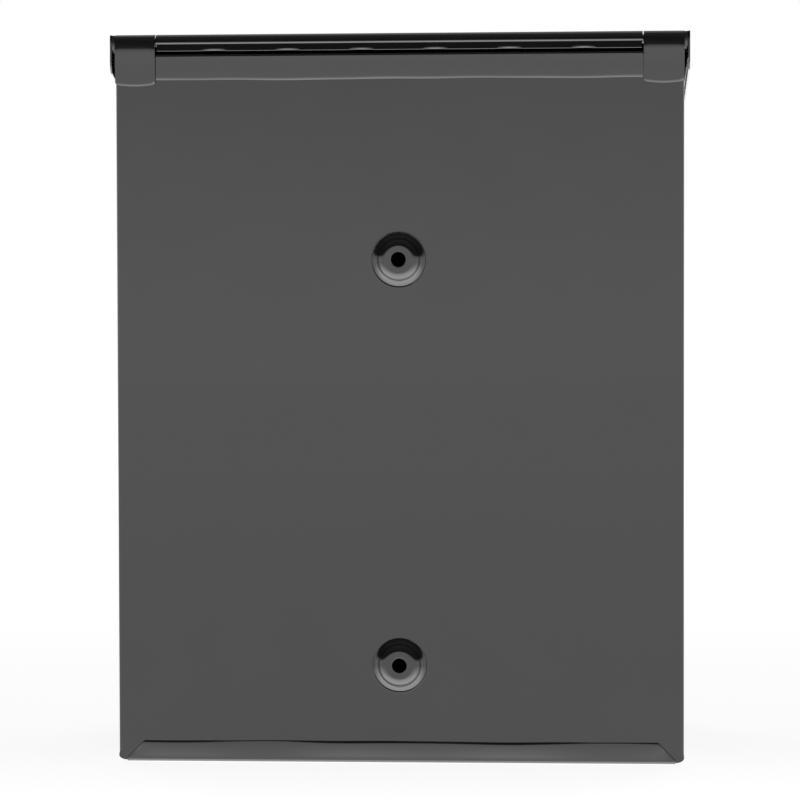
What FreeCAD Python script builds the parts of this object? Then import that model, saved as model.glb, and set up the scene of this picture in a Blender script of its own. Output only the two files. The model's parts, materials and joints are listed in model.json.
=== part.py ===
"""Parcel drop box: a wall-hung sheet-steel box with a sloping lid and a lockable front door.

Frame: +Z up, the wall side faces +Y, the door faces -Y, origin under the middle of the box.
"""
import FreeCAD, Part
import math
import os
import Sketcher

doc = FreeCAD.newDocument("ParcelDropBox")
Vector = FreeCAD.Vector

# ---------------------------------------------------------------- driving dimensions (mm, degrees)
DIMENSIONS = [
    ("body_width", 305, "outside width of the box"),
    ("body_depth", 158, "front face to back panel"),
    ("back_face", 79.5, "wall side of the back panel, from the origin"),
    ("sheet", 0.9, "steel sheet"),
    ("bend_outer", 1.8, "outside radius of an ordinary bend"),
    ("bend_inner", 0.9, "inside radius of an ordinary bend"),
    ("base_bend", 4.5, "outside radius along the bottom edges of the sides"),
    ("base_flange", 16, "side flange that lies on the floor pan"),
    ("rod_height", 387.6, "hinge rod above the floor"),
    ("rod_inset", 2.6, "hinge rod in front of the wall side of the back"),
    ("rod_radius", 3, "hinge rod"),
    ("rod_reach", 153.8, "hinge rod end from the middle"),
    ("cap_edge", 0.4, "rounded edge of a rod cap"),
    ("cap_wall", 0.4, "end wall of a rod cap"),
    ("cap_gap", 0.1, "rod cap beside the body"),
    ("cap_inset", 0.2, "rod cap inside the knuckle's outline"),
    ("run_fit", 0.05, "radial running clearance"),
    ("bush_fit", 0.03, "bush inside its knuckle"),
    ("loop_outer", 4.9, "outside radius of every loop rolled over the rod"),
    ("knuckle_width", 21.6, "end knuckles of the back"),
    ("knuckle_gap", 0.5, "gap beside a knuckle"),
    ("tail_foot", 366, "lower edge of a knuckle's tail"),
    ("hem_top", 381.7, "top of the folded hem"),
    ("hem_foot", 368.1, "lower edge of the folded hem"),
    ("hem_radius", 1.55, "outside radius of the fold"),
    ("hem_rise", 1.2, "hem's outer face at its foot, from the back"),
    ("hole_high", 271, "upper wall hole"),
    ("hole_low", 53, "lower wall hole"),
    ("hole_radius", 4, "wall holes"),
    ("boss_base", 14.8, "radius at the foot of a boss"),
    ("boss_flat", 9.3, "radius of a boss's flat"),
    ("boss_rise", 5, "height of a boss"),
    ("lid_slope", 14, "fall of the lid to the front"),
    ("rim_rise", 1, "rim above the slope line through the rod"),
    ("shoulder_drop", 8.6, "top of the back's plain panel under the rod"),
    ("rod_relief", 1, "end of the side walls' rims in front of the knuckles"),
    ("lid_gap", 2.2, "lid skirt to body"),
    ("lid_bend", 2.6, "outside radius of the lid's bends"),
    ("lid_depth", 20, "height of the lid's skirts"),
    ("lid_tail", 79, "rear end of the lid's side skirts"),
    ("lid_corner", 3, "corners of the skirts' rear ends"),
    ("lid_notch", 0.7, "lid's notches in front of the knuckles"),
    ("finger_lip", 2.9, "lip under the front skirt"),
    ("lip_inset", 12, "finger lip's ends from the lid's sides"),
    ("lip_turn", 8, "degrees that the rear lip turns past level"),
    ("barrel_leaf", 26, "lid barrel's leaf"),
    ("barrel_play", 0.4, "barrel's end play beside the knuckles"),
    ("barrel_curl", 205, "degrees that the barrel's curl ends past level"),
    ("bumper_radius", 6, "lid bumpers"),
    ("bumper_height", 2.7, "lid bumpers"),
    ("bumper_place", 120, "lid bumpers from the middle"),
    ("pan_rear", 11.7, "rear flange of the floor pan"),
    ("pan_front", 12, "front flange of the floor pan"),
    ("mitre_low", 150.3, "flange's half width at the floor"),
    ("mitre_high", 138.2, "flange's half width at its top"),
    ("frame_return", 14, "front frame's side flanges"),
    ("frame_ledge", 12, "front frame's ledge under the lid"),
    ("door_half", 122, "half width of the door opening"),
    ("door_foot", 28, "bottom of the door opening"),
    ("door_head", 232, "top of the door opening"),
    ("opening_flange", 9, "depth of the opening's flange"),
    ("door_gap", 1.2, "door to opening"),
    ("door_return", 8, "depth of the door pan"),
    ("leaf_width", 16, "door hinge leaf"),
    ("leaf_sheet", 1, "door hinge leaf"),
    ("leaf_foot", 38, "bottom of the door hinge"),
    ("knuckle_pitch", 36.8, "length of one door hinge knuckle"),
    ("barrel_radius", 2.2, "door hinge barrel"),
    ("knuckle_clear", 0.35, "leaf's gap round the other leaf's knuckle"),
    ("knuckle_play", 0.2, "gap at each end of a door hinge knuckle"),
    ("barrel_lift", 2.5, "door hinge pin in front of the door"),
    ("pin_radius", 1.2, "door hinge pin"),
    ("rivet_radius", 1.6, "rivet shank"),
    ("rivet_head", 3.1, "rivet head"),
    ("rivet_dome", 1.1, "height of a rivet head"),
    ("rivet_tail", 2.5, "rivet tail"),
    ("rivet_place", 0.62, "hinge rivets across a leaf, as a share of its width"),
    ("baffle_top", 310, "top of the baffle's flange"),
    ("baffle_knee", 286, "bend of the baffle"),
    ("baffle_reach", 5, "rear end of the baffle"),
    ("baffle_fall", 35, "slope of the baffle"),
    ("baffle_half", 149.4, "half width of the baffle"),
    ("baffle_lip", 9, "lip along the baffle's lower end"),
    ("lock_side", 96.8, "lock from the middle"),
    ("lock_height", 130, "lock above the floor"),
    ("lock_radius", 9, "lock body"),
    ("lock_head", 11.5, "lock head"),
    ("lock_flange", 2.2, "thickness of the lock head"),
    ("plug_radius", 6, "lock plug"),
    ("plug_face", 2, "plug's face in front of the door"),
    ("keyway_half", 3.6, "half height of the keyway"),
    ("keyway_slot", 0.7, "half width of the keyway"),
    ("plug_square", 3.9, "half width of the plug's square end"),
    ("nut_collar", 4, "nut's corners outside the lock body"),
    ("nut_height", 3, "lock nut"),
    ("cam_reach", 28, "cam from its axis"),
    ("cam_plane", 11.3, "cam's near face behind the door's face"),
    ("cam_sheet", 1.8, "cam"),
    ("cam_half", 6.5, "half width of the cam at its axis"),
    ("cam_tip", 5, "radius of the cam's end"),
    ("cam_gap", 0.4, "lock body to cam"),
    ("screw_head", 6, "cam screw's head"),
    ("screw_height", 2.4, "height of the cam screw's head"),
    ("screw_shank", 2, "cam screw's shank"),
    ("screw_length", 4.5, "cam screw's shank below its head"),
]

dims = doc.addObject("Spreadsheet::Sheet", "dims")
for row, (alias, number, note) in enumerate(DIMENSIONS, start=1):
    dims.set(f"A{row}", note)
    dims.set(f"B{row}", str(number))
    dims.setAlias(f"B{row}", alias)
doc.recompute()

# Planes and lines that many pieces share, as expressions on the sheet
SHEET = "dims.sheet"
BACK = "dims.back_face"
BACK_INSIDE = "(dims.back_face - dims.sheet)"
FRONT = "(dims.back_face - dims.body_depth)"
FRONT_INSIDE = f"({FRONT} + dims.sheet)"
SIDE = "(dims.body_width / 2)"
SIDE_INSIDE = f"({SIDE} - dims.sheet)"
ROD_Y = "(dims.back_face - dims.rod_inset)"
ROD_Z = "dims.rod_height"
LOOP_INNER = "(dims.loop_outer - dims.sheet)"
LID_SIDE_INSIDE = f"({SIDE} + dims.lid_gap)"
LID_SIDE = f"({LID_SIDE_INSIDE} + dims.sheet)"
LID_FRONT_INSIDE = f"({FRONT} - dims.lid_gap)"
LID_FRONT = f"({LID_FRONT_INSIDE} - dims.sheet)"
KNUCKLE_INSIDE = f"({SIDE} - dims.knuckle_width)"
CENTRE_HALF = f"({KNUCKLE_INSIDE} - dims.knuckle_gap)"
HINGE_X = "(0 - dims.door_half + dims.door_gap / 2)"
HINGE_Y = f"({FRONT} - dims.barrel_lift)"
LEAF_RIVET_REACH = "dims.leaf_width * dims.rivet_place"
LEAF_TOP = "(dims.leaf_foot + 5 * dims.knuckle_pitch)"
LEAF_RIVETS = 5
LEAF_RIVET_Z = "(dims.leaf_foot + dims.knuckle_pitch / 2)"
BAFFLE_RIVETS = [-105, -35, 35, 105]
BAFFLE_RIVET_Z = "(dims.baffle_top - 10)"


def value(expression):
    """Number that an expression on the sheet stands for."""
    result = dims.evalExpression(str(expression))
    return float(getattr(result, "Value", result))


def on_slope(y, rise):
    """Height at y of the line parallel to the lid, rise above the rod's axis."""
    return f"({ROD_Z} - ({ROD_Y} - ({y})) * tan(dims.lid_slope) + ({rise}) / cos(dims.lid_slope))"


def slanted(along, rise):
    """Point that lies along the lid's slope from the rod, and rise above it."""
    y = f"({ROD_Y} - ({along}) * cos(dims.lid_slope) - ({rise}) * sin(dims.lid_slope))"
    z = f"({ROD_Z} - ({along}) * sin(dims.lid_slope) + ({rise}) * cos(dims.lid_slope))"
    return y, z


def polar(centre, radius, degrees):
    """Point at an angle on a circle, from the sketch's first axis."""
    return (f"({centre[0]} + ({radius}) * cos({degrees}))", f"({centre[1]} + ({radius}) * sin({degrees}))")


# ---------------------------------------------------------------- sketching helpers
def new_body(label):
    """PartDesign body that carries a piece's name."""
    body = doc.addObject("PartDesign::Body", label)
    body.Label = label
    return body


def origin_feature(body, role):
    """Plane or axis of the body's own origin."""
    return next(item for item in body.Origin.OriginFeatures if item.Role == role)


def new_sketch(body, name, plane, offset="0"):
    """Sketch on one of the body's own origin planes, moved along the plane's normal."""
    sketch = body.newObject("Sketcher::SketchObject", name)
    sketch.AttachmentSupport = [(origin_feature(body, plane), "")]
    sketch.MapMode = "FlatFace"
    sketch.setExpression("AttachmentOffset.Base.z", offset)
    return sketch


def bind(sketch, kind, geometry, position, expression):
    """Distance of a point from the sketch's origin, bound to the sheet."""
    index = sketch.addConstraint(Sketcher.Constraint(kind, -1, 1, geometry, position, value(expression)))
    sketch.setExpression(f"Constraints[{index}]", expression)


def add_circle(sketch, centre, radius):
    """Circle whose centre and radius are bound to the sheet."""
    place = Vector(value(centre[0]), value(centre[1]), 0)
    circle = sketch.addGeometry(Part.Circle(place, Vector(0, 0, 1), value(radius)))
    bind(sketch, "DistanceX", circle, 3, centre[0])
    bind(sketch, "DistanceY", circle, 3, centre[1])
    index = sketch.addConstraint(Sketcher.Constraint("Radius", circle, value(radius)))
    sketch.setExpression(f"Constraints[{index}]", radius)


def add_outline(sketch, points):
    """Closed outline of lines and arcs.

    A point is (x, y), and the edge that leaves it is a line, or (x, y, centre, turn), and the edge
    is an arc about that centre, with turn +1 against the clock and -1 with it. The last edge is a line.
    """
    count = len(points)
    places = [Vector(value(point[0]), value(point[1]), 0) for point in points]
    ends = []
    for i, point in enumerate(points):
        start, finish = places[i], places[(i + 1) % count]
        if len(point) == 2:
            edge = sketch.addGeometry(Part.LineSegment(start, finish))
            ends.append((edge, 1, 2))
            continue
        centre = Vector(value(point[2][0]), value(point[2][1]), 0)
        first, last = (start, finish) if point[3] > 0 else (finish, start)
        angles = [math.atan2(place.y - centre.y, place.x - centre.x) for place in (first, last)]
        if angles[1] <= angles[0]:
            angles[1] += 2 * math.pi
        circle = Part.Circle(centre, Vector(0, 0, 1), (first - centre).Length)
        edge = sketch.addGeometry(Part.ArcOfCircle(circle, angles[0], angles[1]))
        ends.append((edge, 1, 2) if point[3] > 0 else (edge, 2, 1))
    for i in range(count):
        edge, _, finish = ends[i]
        following, start, _ = ends[(i + 1) % count]
        sketch.addConstraint(Sketcher.Constraint("Coincident", edge, finish, following, start))
    for i, point in enumerate(points):
        edge, start, _ = ends[i]
        before = points[i - 1]
        free_x = free_y = False
        if len(before) == 4:
            centre_x, centre_y = value(before[2][0]), value(before[2][1])
            free_x = abs(places[i].x - centre_x) > abs(places[i].y - centre_y)
            free_y = not free_x
        if not free_x:
            bind(sketch, "DistanceX", edge, start, point[0])
        if not free_y:
            bind(sketch, "DistanceY", edge, start, point[1])
        if len(point) == 4:
            bind(sketch, "DistanceX", edge, 3, point[2][0])
            bind(sketch, "DistanceY", edge, 3, point[2][1])


def add_shapes(sketch, shapes):
    """Draw outlines (lists of points) and circles (centre, radius) in a sketch."""
    for shape in shapes:
        if isinstance(shape, list):
            add_outline(sketch, shape)
        else:
            add_circle(sketch, *shape)


def extrude(body, kind, name, plane, low, high, *shapes):
    """Pad or pocket between two levels along the plane's axis."""
    along_minus = plane == "XZ_Plane"
    sketch = new_sketch(body, f"{name}_sketch", plane, f"-({high})" if along_minus else low)
    add_shapes(sketch, shapes)
    doc.recompute()
    before = body.Shape.Volume if body.Tip else 0.0
    feature = body.newObject(f"PartDesign::{kind}", name)
    feature.Profile = sketch
    feature.setExpression("Length", f"({high}) - ({low})")
    feature.Reversed = kind == "Pocket"
    doc.recompute()
    change = feature.Shape.Volume - before
    if (kind == "Pad") != (change > 0) or abs(change) < 1e-3:
        raise RuntimeError(f"{body.Label}.{name} changed the volume by {change:.3f}")
    return feature


def pad(body, name, plane, low, high, *shapes):
    """Add material between two levels."""
    return extrude(body, "Pad", name, plane, low, high, *shapes)


def pocket(body, name, plane, low, high, *shapes):
    """Cut material away between two levels."""
    return extrude(body, "Pocket", name, plane, low, high, *shapes)


def revolve(body, name, plane, offset, axis_start, points):
    """Turn an outline a full circle about a line along the sketch's first axis."""
    sketch = new_sketch(body, f"{name}_sketch", plane, offset)
    add_outline(sketch, points)
    x, y = value(axis_start[0]), value(axis_start[1])
    axis = sketch.addGeometry(Part.LineSegment(Vector(x, y, 0), Vector(x + 10, y, 0)), True)
    sketch.addConstraint(Sketcher.Constraint("Horizontal", axis))
    sketch.addConstraint(Sketcher.Constraint("Distance", axis, 10))
    bind(sketch, "DistanceX", axis, 1, axis_start[0])
    bind(sketch, "DistanceY", axis, 1, axis_start[1])
    doc.recompute()
    feature = body.newObject("PartDesign::Revolution", name)
    feature.Profile = sketch
    feature.ReferenceAxis = (sketch, ["Axis0"])
    feature.Angle = 360
    doc.recompute()
    return feature


def fillet(body, name, radius, test):
    """Round the edges of the tip that pass a test on their box."""
    tip = body.Tip
    names = [f"Edge{i}" for i, edge in enumerate(tip.Shape.Edges, start=1) if test(edge.BoundBox)]
    if not names:
        raise RuntimeError(f"{body.Label}.{name} found no edge")
    feature = body.newObject("PartDesign::Fillet", name)
    feature.Base = (tip, names)
    feature.setExpression("Radius", radius)
    doc.recompute()
    return feature


def lies_at(box, tolerance=0.02, **places):
    """Whether an edge's box is flat at the given x, y or z expressions."""
    for axis, expression in places.items():
        limits = getattr(box, f"{axis.upper()}Min"), getattr(box, f"{axis.upper()}Max")
        if max(abs(limit - value(expression)) for limit in limits) > tolerance:
            return False
    return True


def repeat(body, feature, axis, pitch, count):
    """Linear pattern of one feature along an axis of the body's origin."""
    pattern = body.newObject("PartDesign::LinearPattern", f"{feature.Name}_row")
    pattern.Originals = [feature]
    pattern.Direction = (origin_feature(body, axis), [""])
    pattern.setExpression("Length", f"({pitch}) * {count - 1}")
    pattern.Occurrences = count
    body.Tip = pattern
    doc.recompute()
    return pattern


def rectangle(x_low, x_high, y_low, y_high):
    """Outline of a rectangle."""
    return [(x_low, y_low), (x_high, y_low), (x_high, y_high), (x_low, y_high)]


def times(sign, expression):
    """Expression with a sign in front."""
    return expression if sign > 0 else f"(0 - ({expression}))"


# ---------------------------------------------------------------- body shell
def make_rear_shell():
    """Back and both sides in one bent sheet, with its rolled knuckles, hem and wall bosses."""
    body = new_body("rear_shell")
    foot = "(2 * dims.sheet + 0.1)"
    shoulder = "(dims.rod_height - dims.shoulder_drop)"
    corner_z = "(dims.base_bend + dims.sheet)"
    wall_front = f"({FRONT} + dims.bend_outer)"

    pad(body, "u_bend", "XY_Plane", foot, ROD_Z, [
        (times(-1, SIDE), wall_front), (times(-1, SIDE_INSIDE), wall_front),
        (times(-1, SIDE_INSIDE), BACK_INSIDE), (SIDE_INSIDE, BACK_INSIDE),
        (SIDE_INSIDE, wall_front), (SIDE, wall_front), (SIDE, BACK), (times(-1, SIDE), BACK)])
    fillet(body, "outer_bends", "dims.bend_outer", lambda box: (
        lies_at(box, y=BACK) and box.ZLength > 50 and abs(box.XMin) > 152))
    fillet(body, "inner_bends", "dims.bend_inner", lambda box: (
        lies_at(box, y=BACK_INSIDE) and box.ZLength > 50 and 150 < abs(box.XMin) < 152))

    relief = f"({ROD_Y} - dims.loop_outer - dims.rod_relief)"
    pocket(body, "rim", "YZ_Plane", "-200", "200", [
        ("-100", on_slope("-100", "dims.rim_rise")), (relief, on_slope(relief, "dims.rim_rise")),
        (relief, shoulder), ("100", shoulder), ("100", "420"), ("-100", "420")])

    for side, sign in (("left", -1), ("right", 1)):
        bend = (times(sign, f"{SIDE} - dims.base_bend"), corner_z)
        below = (bend[0], "dims.sheet")
        pocket(body, f"base_corner_{side}", "XZ_Plane", "-100", "100", [
            (*below, bend, sign), (times(sign, SIDE), corner_z),
            (times(sign, f"{SIDE} + 3"), corner_z), (times(sign, f"{SIDE} + 3"), "0"), (bend[0], "0")])
    for side, sign in (("left", -1), ("right", 1)):
        bend = (times(sign, f"{SIDE} - dims.base_bend"), corner_z)
        flange_end = times(sign, f"{SIDE} - dims.base_flange")
        pad(body, f"base_flange_{side}", "XZ_Plane", f"{wall_front} + {SHEET} + 0.1",
            f"({BACK} - dims.bend_outer)", [
            (bend[0], "dims.sheet", bend, sign), (times(sign, SIDE), corner_z),
            (times(sign, SIDE_INSIDE), corner_z, bend, -sign), (bend[0], "2 * dims.sheet"),
            (flange_end, "2 * dims.sheet"), (flange_end, "dims.sheet")])

    # Hem: the top edge is folded outwards and pressed down
    fold = (f"({BACK_INSIDE} + dims.hem_radius)", "(dims.hem_top - dims.hem_radius)")
    fold_inner = "(dims.hem_radius - dims.sheet)"
    hem_face = f"({BACK} + dims.hem_rise)"
    pad(body, "hem", "YZ_Plane", f"-{CENTRE_HALF}", CENTRE_HALF, [
        (BACK_INSIDE, f"{shoulder} - 0.5"), (BACK, f"{shoulder} - 0.5"),
        (f"{fold[0]} - {fold_inner}", fold[1], fold, -1), (f"{fold[0]} + {fold_inner}", fold[1]),
        (f"{hem_face} - dims.sheet", "dims.hem_foot"), (hem_face, "dims.hem_foot"),
        (f"{fold[0]} + dims.hem_radius", fold[1], fold, 1), (BACK_INSIDE, fold[1])])

    # Knuckles: each end is rolled over the rod and its tail lies on the back
    rod = (ROD_Y, ROD_Z)
    outer_leg = polar(rod, "dims.loop_outer", "225")
    inner_leg = polar(rod, LOOP_INNER, "225")
    for side, low, high in (("left", times(-1, SIDE), times(-1, KNUCKLE_INSIDE)),
                            ("right", KNUCKLE_INSIDE, SIDE)):
        pad(body, f"knuckle_{side}", "YZ_Plane", low, high, [
            (BACK_INSIDE, f"{shoulder} - 0.5"), (BACK, f"{shoulder} - 0.5"),
            (BACK, f"{inner_leg[1]} - ({BACK} - {inner_leg[0]})"),
            (*inner_leg, rod, -1), (f"{ROD_Y} + {LOOP_INNER}", ROD_Z),
            (f"{hem_face} - dims.sheet", "dims.tail_foot"), (hem_face, "dims.tail_foot"),
            (f"{ROD_Y} + dims.loop_outer", ROD_Z, rod, 1), outer_leg,
            (BACK_INSIDE, f"{outer_leg[1]} - ({BACK_INSIDE} - {outer_leg[0]})")])

    # Bosses: pressed towards the wall with a smooth step, and pierced for the screws
    turn = "(2 * atan(dims.boss_rise / (dims.boss_base - dims.boss_flat)))"
    bend = f"((dims.boss_base - dims.boss_flat) / (2 * sin({turn})))"
    top = f"({BACK} + dims.boss_rise)"
    for level, height in (("low", "dims.hole_low"), ("high", "dims.hole_high")):
        pocket(body, f"boss_{level}_blank", "XZ_Plane", f"{BACK} - 5", f"{BACK} + 5",
               (("0", height), "dims.boss_base"))
        foot_centre = (f"({BACK} + {bend})", f"({height} + dims.boss_base)")
        top_centre = (f"({top} - {bend})", f"({height} + dims.boss_flat)")
        outer_mid = (f"({BACK} + {bend} * (1 - cos({turn})))",
                     f"({height} + dims.boss_base - {bend} * sin({turn}))")
        inner_mid = (f"({foot_centre[0]} - ({bend} + {SHEET}) * cos({turn}))",
                     f"({foot_centre[1]} - ({bend} + {SHEET}) * sin({turn}))")
        rim = f"({height} + dims.hole_radius)"
        revolve(body, f"boss_{level}", "YZ_Plane", "0", (BACK, height), [
            (top, rim), (top, f"({height} + dims.boss_flat)", top_centre, 1),
            (*outer_mid, foot_centre, -1), (BACK, f"({height} + dims.boss_base)"),
            (BACK_INSIDE, f"({height} + dims.boss_base)", foot_centre, 1),
            (*inner_mid, top_centre, -1), (f"({top} - {SHEET})", f"({height} + dims.boss_flat)"),
            (f"({top} - {SHEET})", rim)])
    return body


def make_bottom_pan():
    """Floor with a rear flange outside the back and a front flange inside the frame."""
    body = new_body("bottom_pan")
    half = f"({SIDE} - dims.base_bend)"
    rear = f"({BACK} + dims.sheet)"
    pad(body, "floor", "YZ_Plane", f"-{half}", half, [
        (FRONT_INSIDE, "0"), (rear, "0"), (rear, "dims.pan_rear"), (BACK, "dims.pan_rear"),
        (BACK, SHEET), (f"{FRONT_INSIDE} + {SHEET}", SHEET),
        (f"{FRONT_INSIDE} + {SHEET}", "dims.pan_front"), (FRONT_INSIDE, "dims.pan_front")])
    fillet(body, "outer_bends", "dims.bend_outer", lambda box: lies_at(box, z="0") and (
        lies_at(box, y=rear) or lies_at(box, y=FRONT_INSIDE)) and box.XLength > 50)
    fillet(body, "inner_bends", "dims.bend_inner", lambda box: lies_at(box, z=SHEET) and (
        lies_at(box, y=BACK) or lies_at(box, y=f"{FRONT_INSIDE} + {SHEET}")) and box.XLength > 50)
    for side, sign in (("left", -1), ("right", 1)):
        pocket(body, f"mitre_{side}", "XZ_Plane", f"{BACK} - 0.01", f"{BACK} + 5", [
            (times(sign, "dims.mitre_low"), "0"), (times(sign, "200"), "0"),
            (times(sign, "200"), "dims.pan_rear + 5"),
            (times(sign, "dims.mitre_high - 5"), "dims.pan_rear + 5"),
            (times(sign, "dims.mitre_high"), "dims.pan_rear")])
    return body


def make_front_frame():
    """Front face round the door, with side flanges, a ledge under the lid and a flanged opening."""
    body = new_body("front_frame")
    under = "(dims.rim_rise - dims.sheet)"
    top = f"({on_slope(FRONT, under)} + 0.2)"
    back = f"({FRONT} + dims.frame_return)"
    outer, inner = SIDE_INSIDE, f"({SIDE_INSIDE} - {SHEET})"
    clear = "(dims.base_bend + dims.sheet + 1)"
    pad(body, "face", "XY_Plane", "dims.sheet + 0.1", top, [
        (times(-1, outer), FRONT), (outer, FRONT), (outer, back), (inner, back),
        (inner, FRONT_INSIDE), (times(-1, inner), FRONT_INSIDE), (times(-1, inner), back),
        (times(-1, outer), back)])
    fillet(body, "outer_bends", "dims.bend_outer", lambda box: (
        lies_at(box, y=FRONT) and box.ZLength > 50 and abs(box.XMin) > 150))
    fillet(body, "inner_bends", "dims.bend_inner", lambda box: (
        lies_at(box, y=FRONT_INSIDE) and box.ZLength > 50 and abs(box.XMin) > 150))
    pocket(body, "flange_clearance", "XZ_Plane", f"{FRONT} + dims.bend_outer", "0",
           rectangle("-200", "200", "0", clear))
    ledge_end = f"({FRONT} + dims.frame_ledge)"
    pad(body, "ledge", "YZ_Plane", f"-{inner} + 1", f"{inner} - 1", [
        (FRONT, on_slope(FRONT, under)), (ledge_end, on_slope(ledge_end, under)),
        (ledge_end, on_slope(ledge_end, "dims.rim_rise")), (FRONT, on_slope(FRONT, "dims.rim_rise"))])
    flange = f"({FRONT} + dims.opening_flange)"
    pad(body, "opening_collar", "XZ_Plane", FRONT, flange, rectangle(
        f"-dims.door_half - {SHEET}", f"dims.door_half + {SHEET}",
        f"dims.door_foot - {SHEET}", f"dims.door_head + {SHEET}"))
    pocket(body, "opening", "XZ_Plane", f"{FRONT} - 1", f"{flange} + 1", rectangle(
        "-dims.door_half", "dims.door_half", "dims.door_foot", "dims.door_head"))
    drill_leaf_holes(body, "hinge_holes", f"{HINGE_X} - {LEAF_RIVET_REACH}")
    pocket(body, "baffle_holes", "XZ_Plane", f"{FRONT} - 1", f"{FRONT} + 3",
           *[((str(x), BAFFLE_RIVET_Z), "dims.rivet_radius") for x in BAFFLE_RIVETS])
    return body


def drill_leaf_holes(body, name, x):
    """Row of rivet holes through the front sheet, one opposite each hinge knuckle."""
    pocket(body, name, "XZ_Plane", f"{FRONT} - 3", f"{FRONT} + 3",
           *[((x, f"({LEAF_RIVET_Z} + {i} * dims.knuckle_pitch)"), "dims.rivet_radius")
             for i in range(LEAF_RIVETS)])


def make_baffle():
    """Sloped plate behind the front that keeps hands away from what lies below."""
    body = new_body("baffle")
    near = f"({FRONT_INSIDE} + {SHEET})"
    fall = f"((dims.baffle_reach - {near}) * tan(dims.baffle_fall))"
    thick = f"({SHEET} / cos(dims.baffle_fall) - {SHEET} * tan(dims.baffle_fall))"
    end_z = f"(dims.baffle_knee - {fall})"
    end_y = "dims.baffle_reach"
    pad(body, "plate", "YZ_Plane", "-dims.baffle_half", "dims.baffle_half", [
        (FRONT_INSIDE, "dims.baffle_top"), (FRONT_INSIDE, f"dims.baffle_knee - {thick}"),
        (f"{end_y} - {SHEET}", f"{end_z} - {thick}"), (f"{end_y} - {SHEET}", f"{end_z} - dims.baffle_lip"),
        (end_y, f"{end_z} - dims.baffle_lip"), (end_y, end_z), (near, "dims.baffle_knee"), (near, "dims.baffle_top")])
    pocket(body, "rivet_holes", "XZ_Plane", f"{FRONT} - 1", f"{FRONT} + 3",
           *[((str(x), BAFFLE_RIVET_Z), "dims.rivet_radius") for x in BAFFLE_RIVETS])
    return body


# ---------------------------------------------------------------- fasteners
def make_rivets(label, x, z, head_face, grip, axis, pitch, count):
    """Row of blind rivets: a domed head in front, a shank through the sheets and a tail behind."""
    body = new_body(label)
    tail_face = f"({head_face} + {grip})"
    shank = f"({z} + dims.rivet_radius)"
    head = f"({z} + dims.rivet_head)"
    dome_radius = "((dims.rivet_head ^ 2 + dims.rivet_dome ^ 2) / (2 * dims.rivet_dome))"
    dome_centre = (f"({head_face} - dims.rivet_dome + {dome_radius})", z)
    tail = f"({z} + dims.rivet_tail)"
    first = revolve(body, "rivet", "YZ_Plane", x, (head_face, z), [
        (f"{head_face} - dims.rivet_dome", z, dome_centre, -1), (head_face, head),
        (head_face, shank), (tail_face, shank), (tail_face, tail),
        (f"{tail_face} + dims.rivet_dome", tail), (f"{tail_face} + dims.rivet_dome", z)])
    repeat(body, first, axis, pitch, count)
    return body


# ---------------------------------------------------------------- lid hinge
def make_rod():
    """Steel rod that the lid turns on."""
    body = new_body("hinge_rod")
    pad(body, "rod", "YZ_Plane", "-dims.rod_reach", "dims.rod_reach", ((ROD_Y, ROD_Z), "dims.rod_radius"))
    return body


def make_bush(side, sign):
    """Plastic sleeve that holds the rod in a knuckle."""
    body = new_body(f"hinge_bush_{side}")
    low, high = sorted([times(sign, KNUCKLE_INSIDE), times(sign, SIDE)], key=value)
    pad(body, "sleeve", "YZ_Plane", low, high, ((ROD_Y, ROD_Z), f"{LOOP_INNER} - dims.bush_fit"))
    pocket(body, "bore", "YZ_Plane", f"{low} - 1", f"{high} + 1", ((ROD_Y, ROD_Z), "dims.rod_radius"))
    return body


def make_rod_cap(side, sign):
    """Push-on cap that stops the rod from sliding out."""
    body = new_body(f"rod_cap_{side}")
    low, high = sorted([times(sign, f"{SIDE} + dims.cap_gap"), times(sign, "dims.rod_reach + dims.cap_wall")], key=value)
    pad(body, "cap", "YZ_Plane", low, high, ((ROD_Y, ROD_Z), "dims.loop_outer - dims.cap_inset"))
    inner, outer = sorted([times(sign, f"{SIDE} + dims.cap_gap"), times(sign, "dims.rod_reach")], key=value)
    pocket(body, "bore", "YZ_Plane", inner, outer, ((ROD_Y, ROD_Z), "dims.rod_radius"))
    fillet(body, "edge", "dims.cap_edge", lambda box: (
        lies_at(box, x=times(sign, "dims.rod_reach + dims.cap_wall")) and box.ZLength > 8))
    return body


# ---------------------------------------------------------------- lid
def lies_on_foot(box):
    """Whether an edge belongs to the lower edge of the lid's skirts or to their rear ends."""
    middle_y = (box.YMin + box.YMax) / 2
    middle_z = (box.ZMin + box.ZMax) / 2
    top = value(on_slope(str(middle_y), "dims.loop_outer"))
    return middle_z < top - 1.2 or box.YMin > value(ROD_Y) - 2


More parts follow.
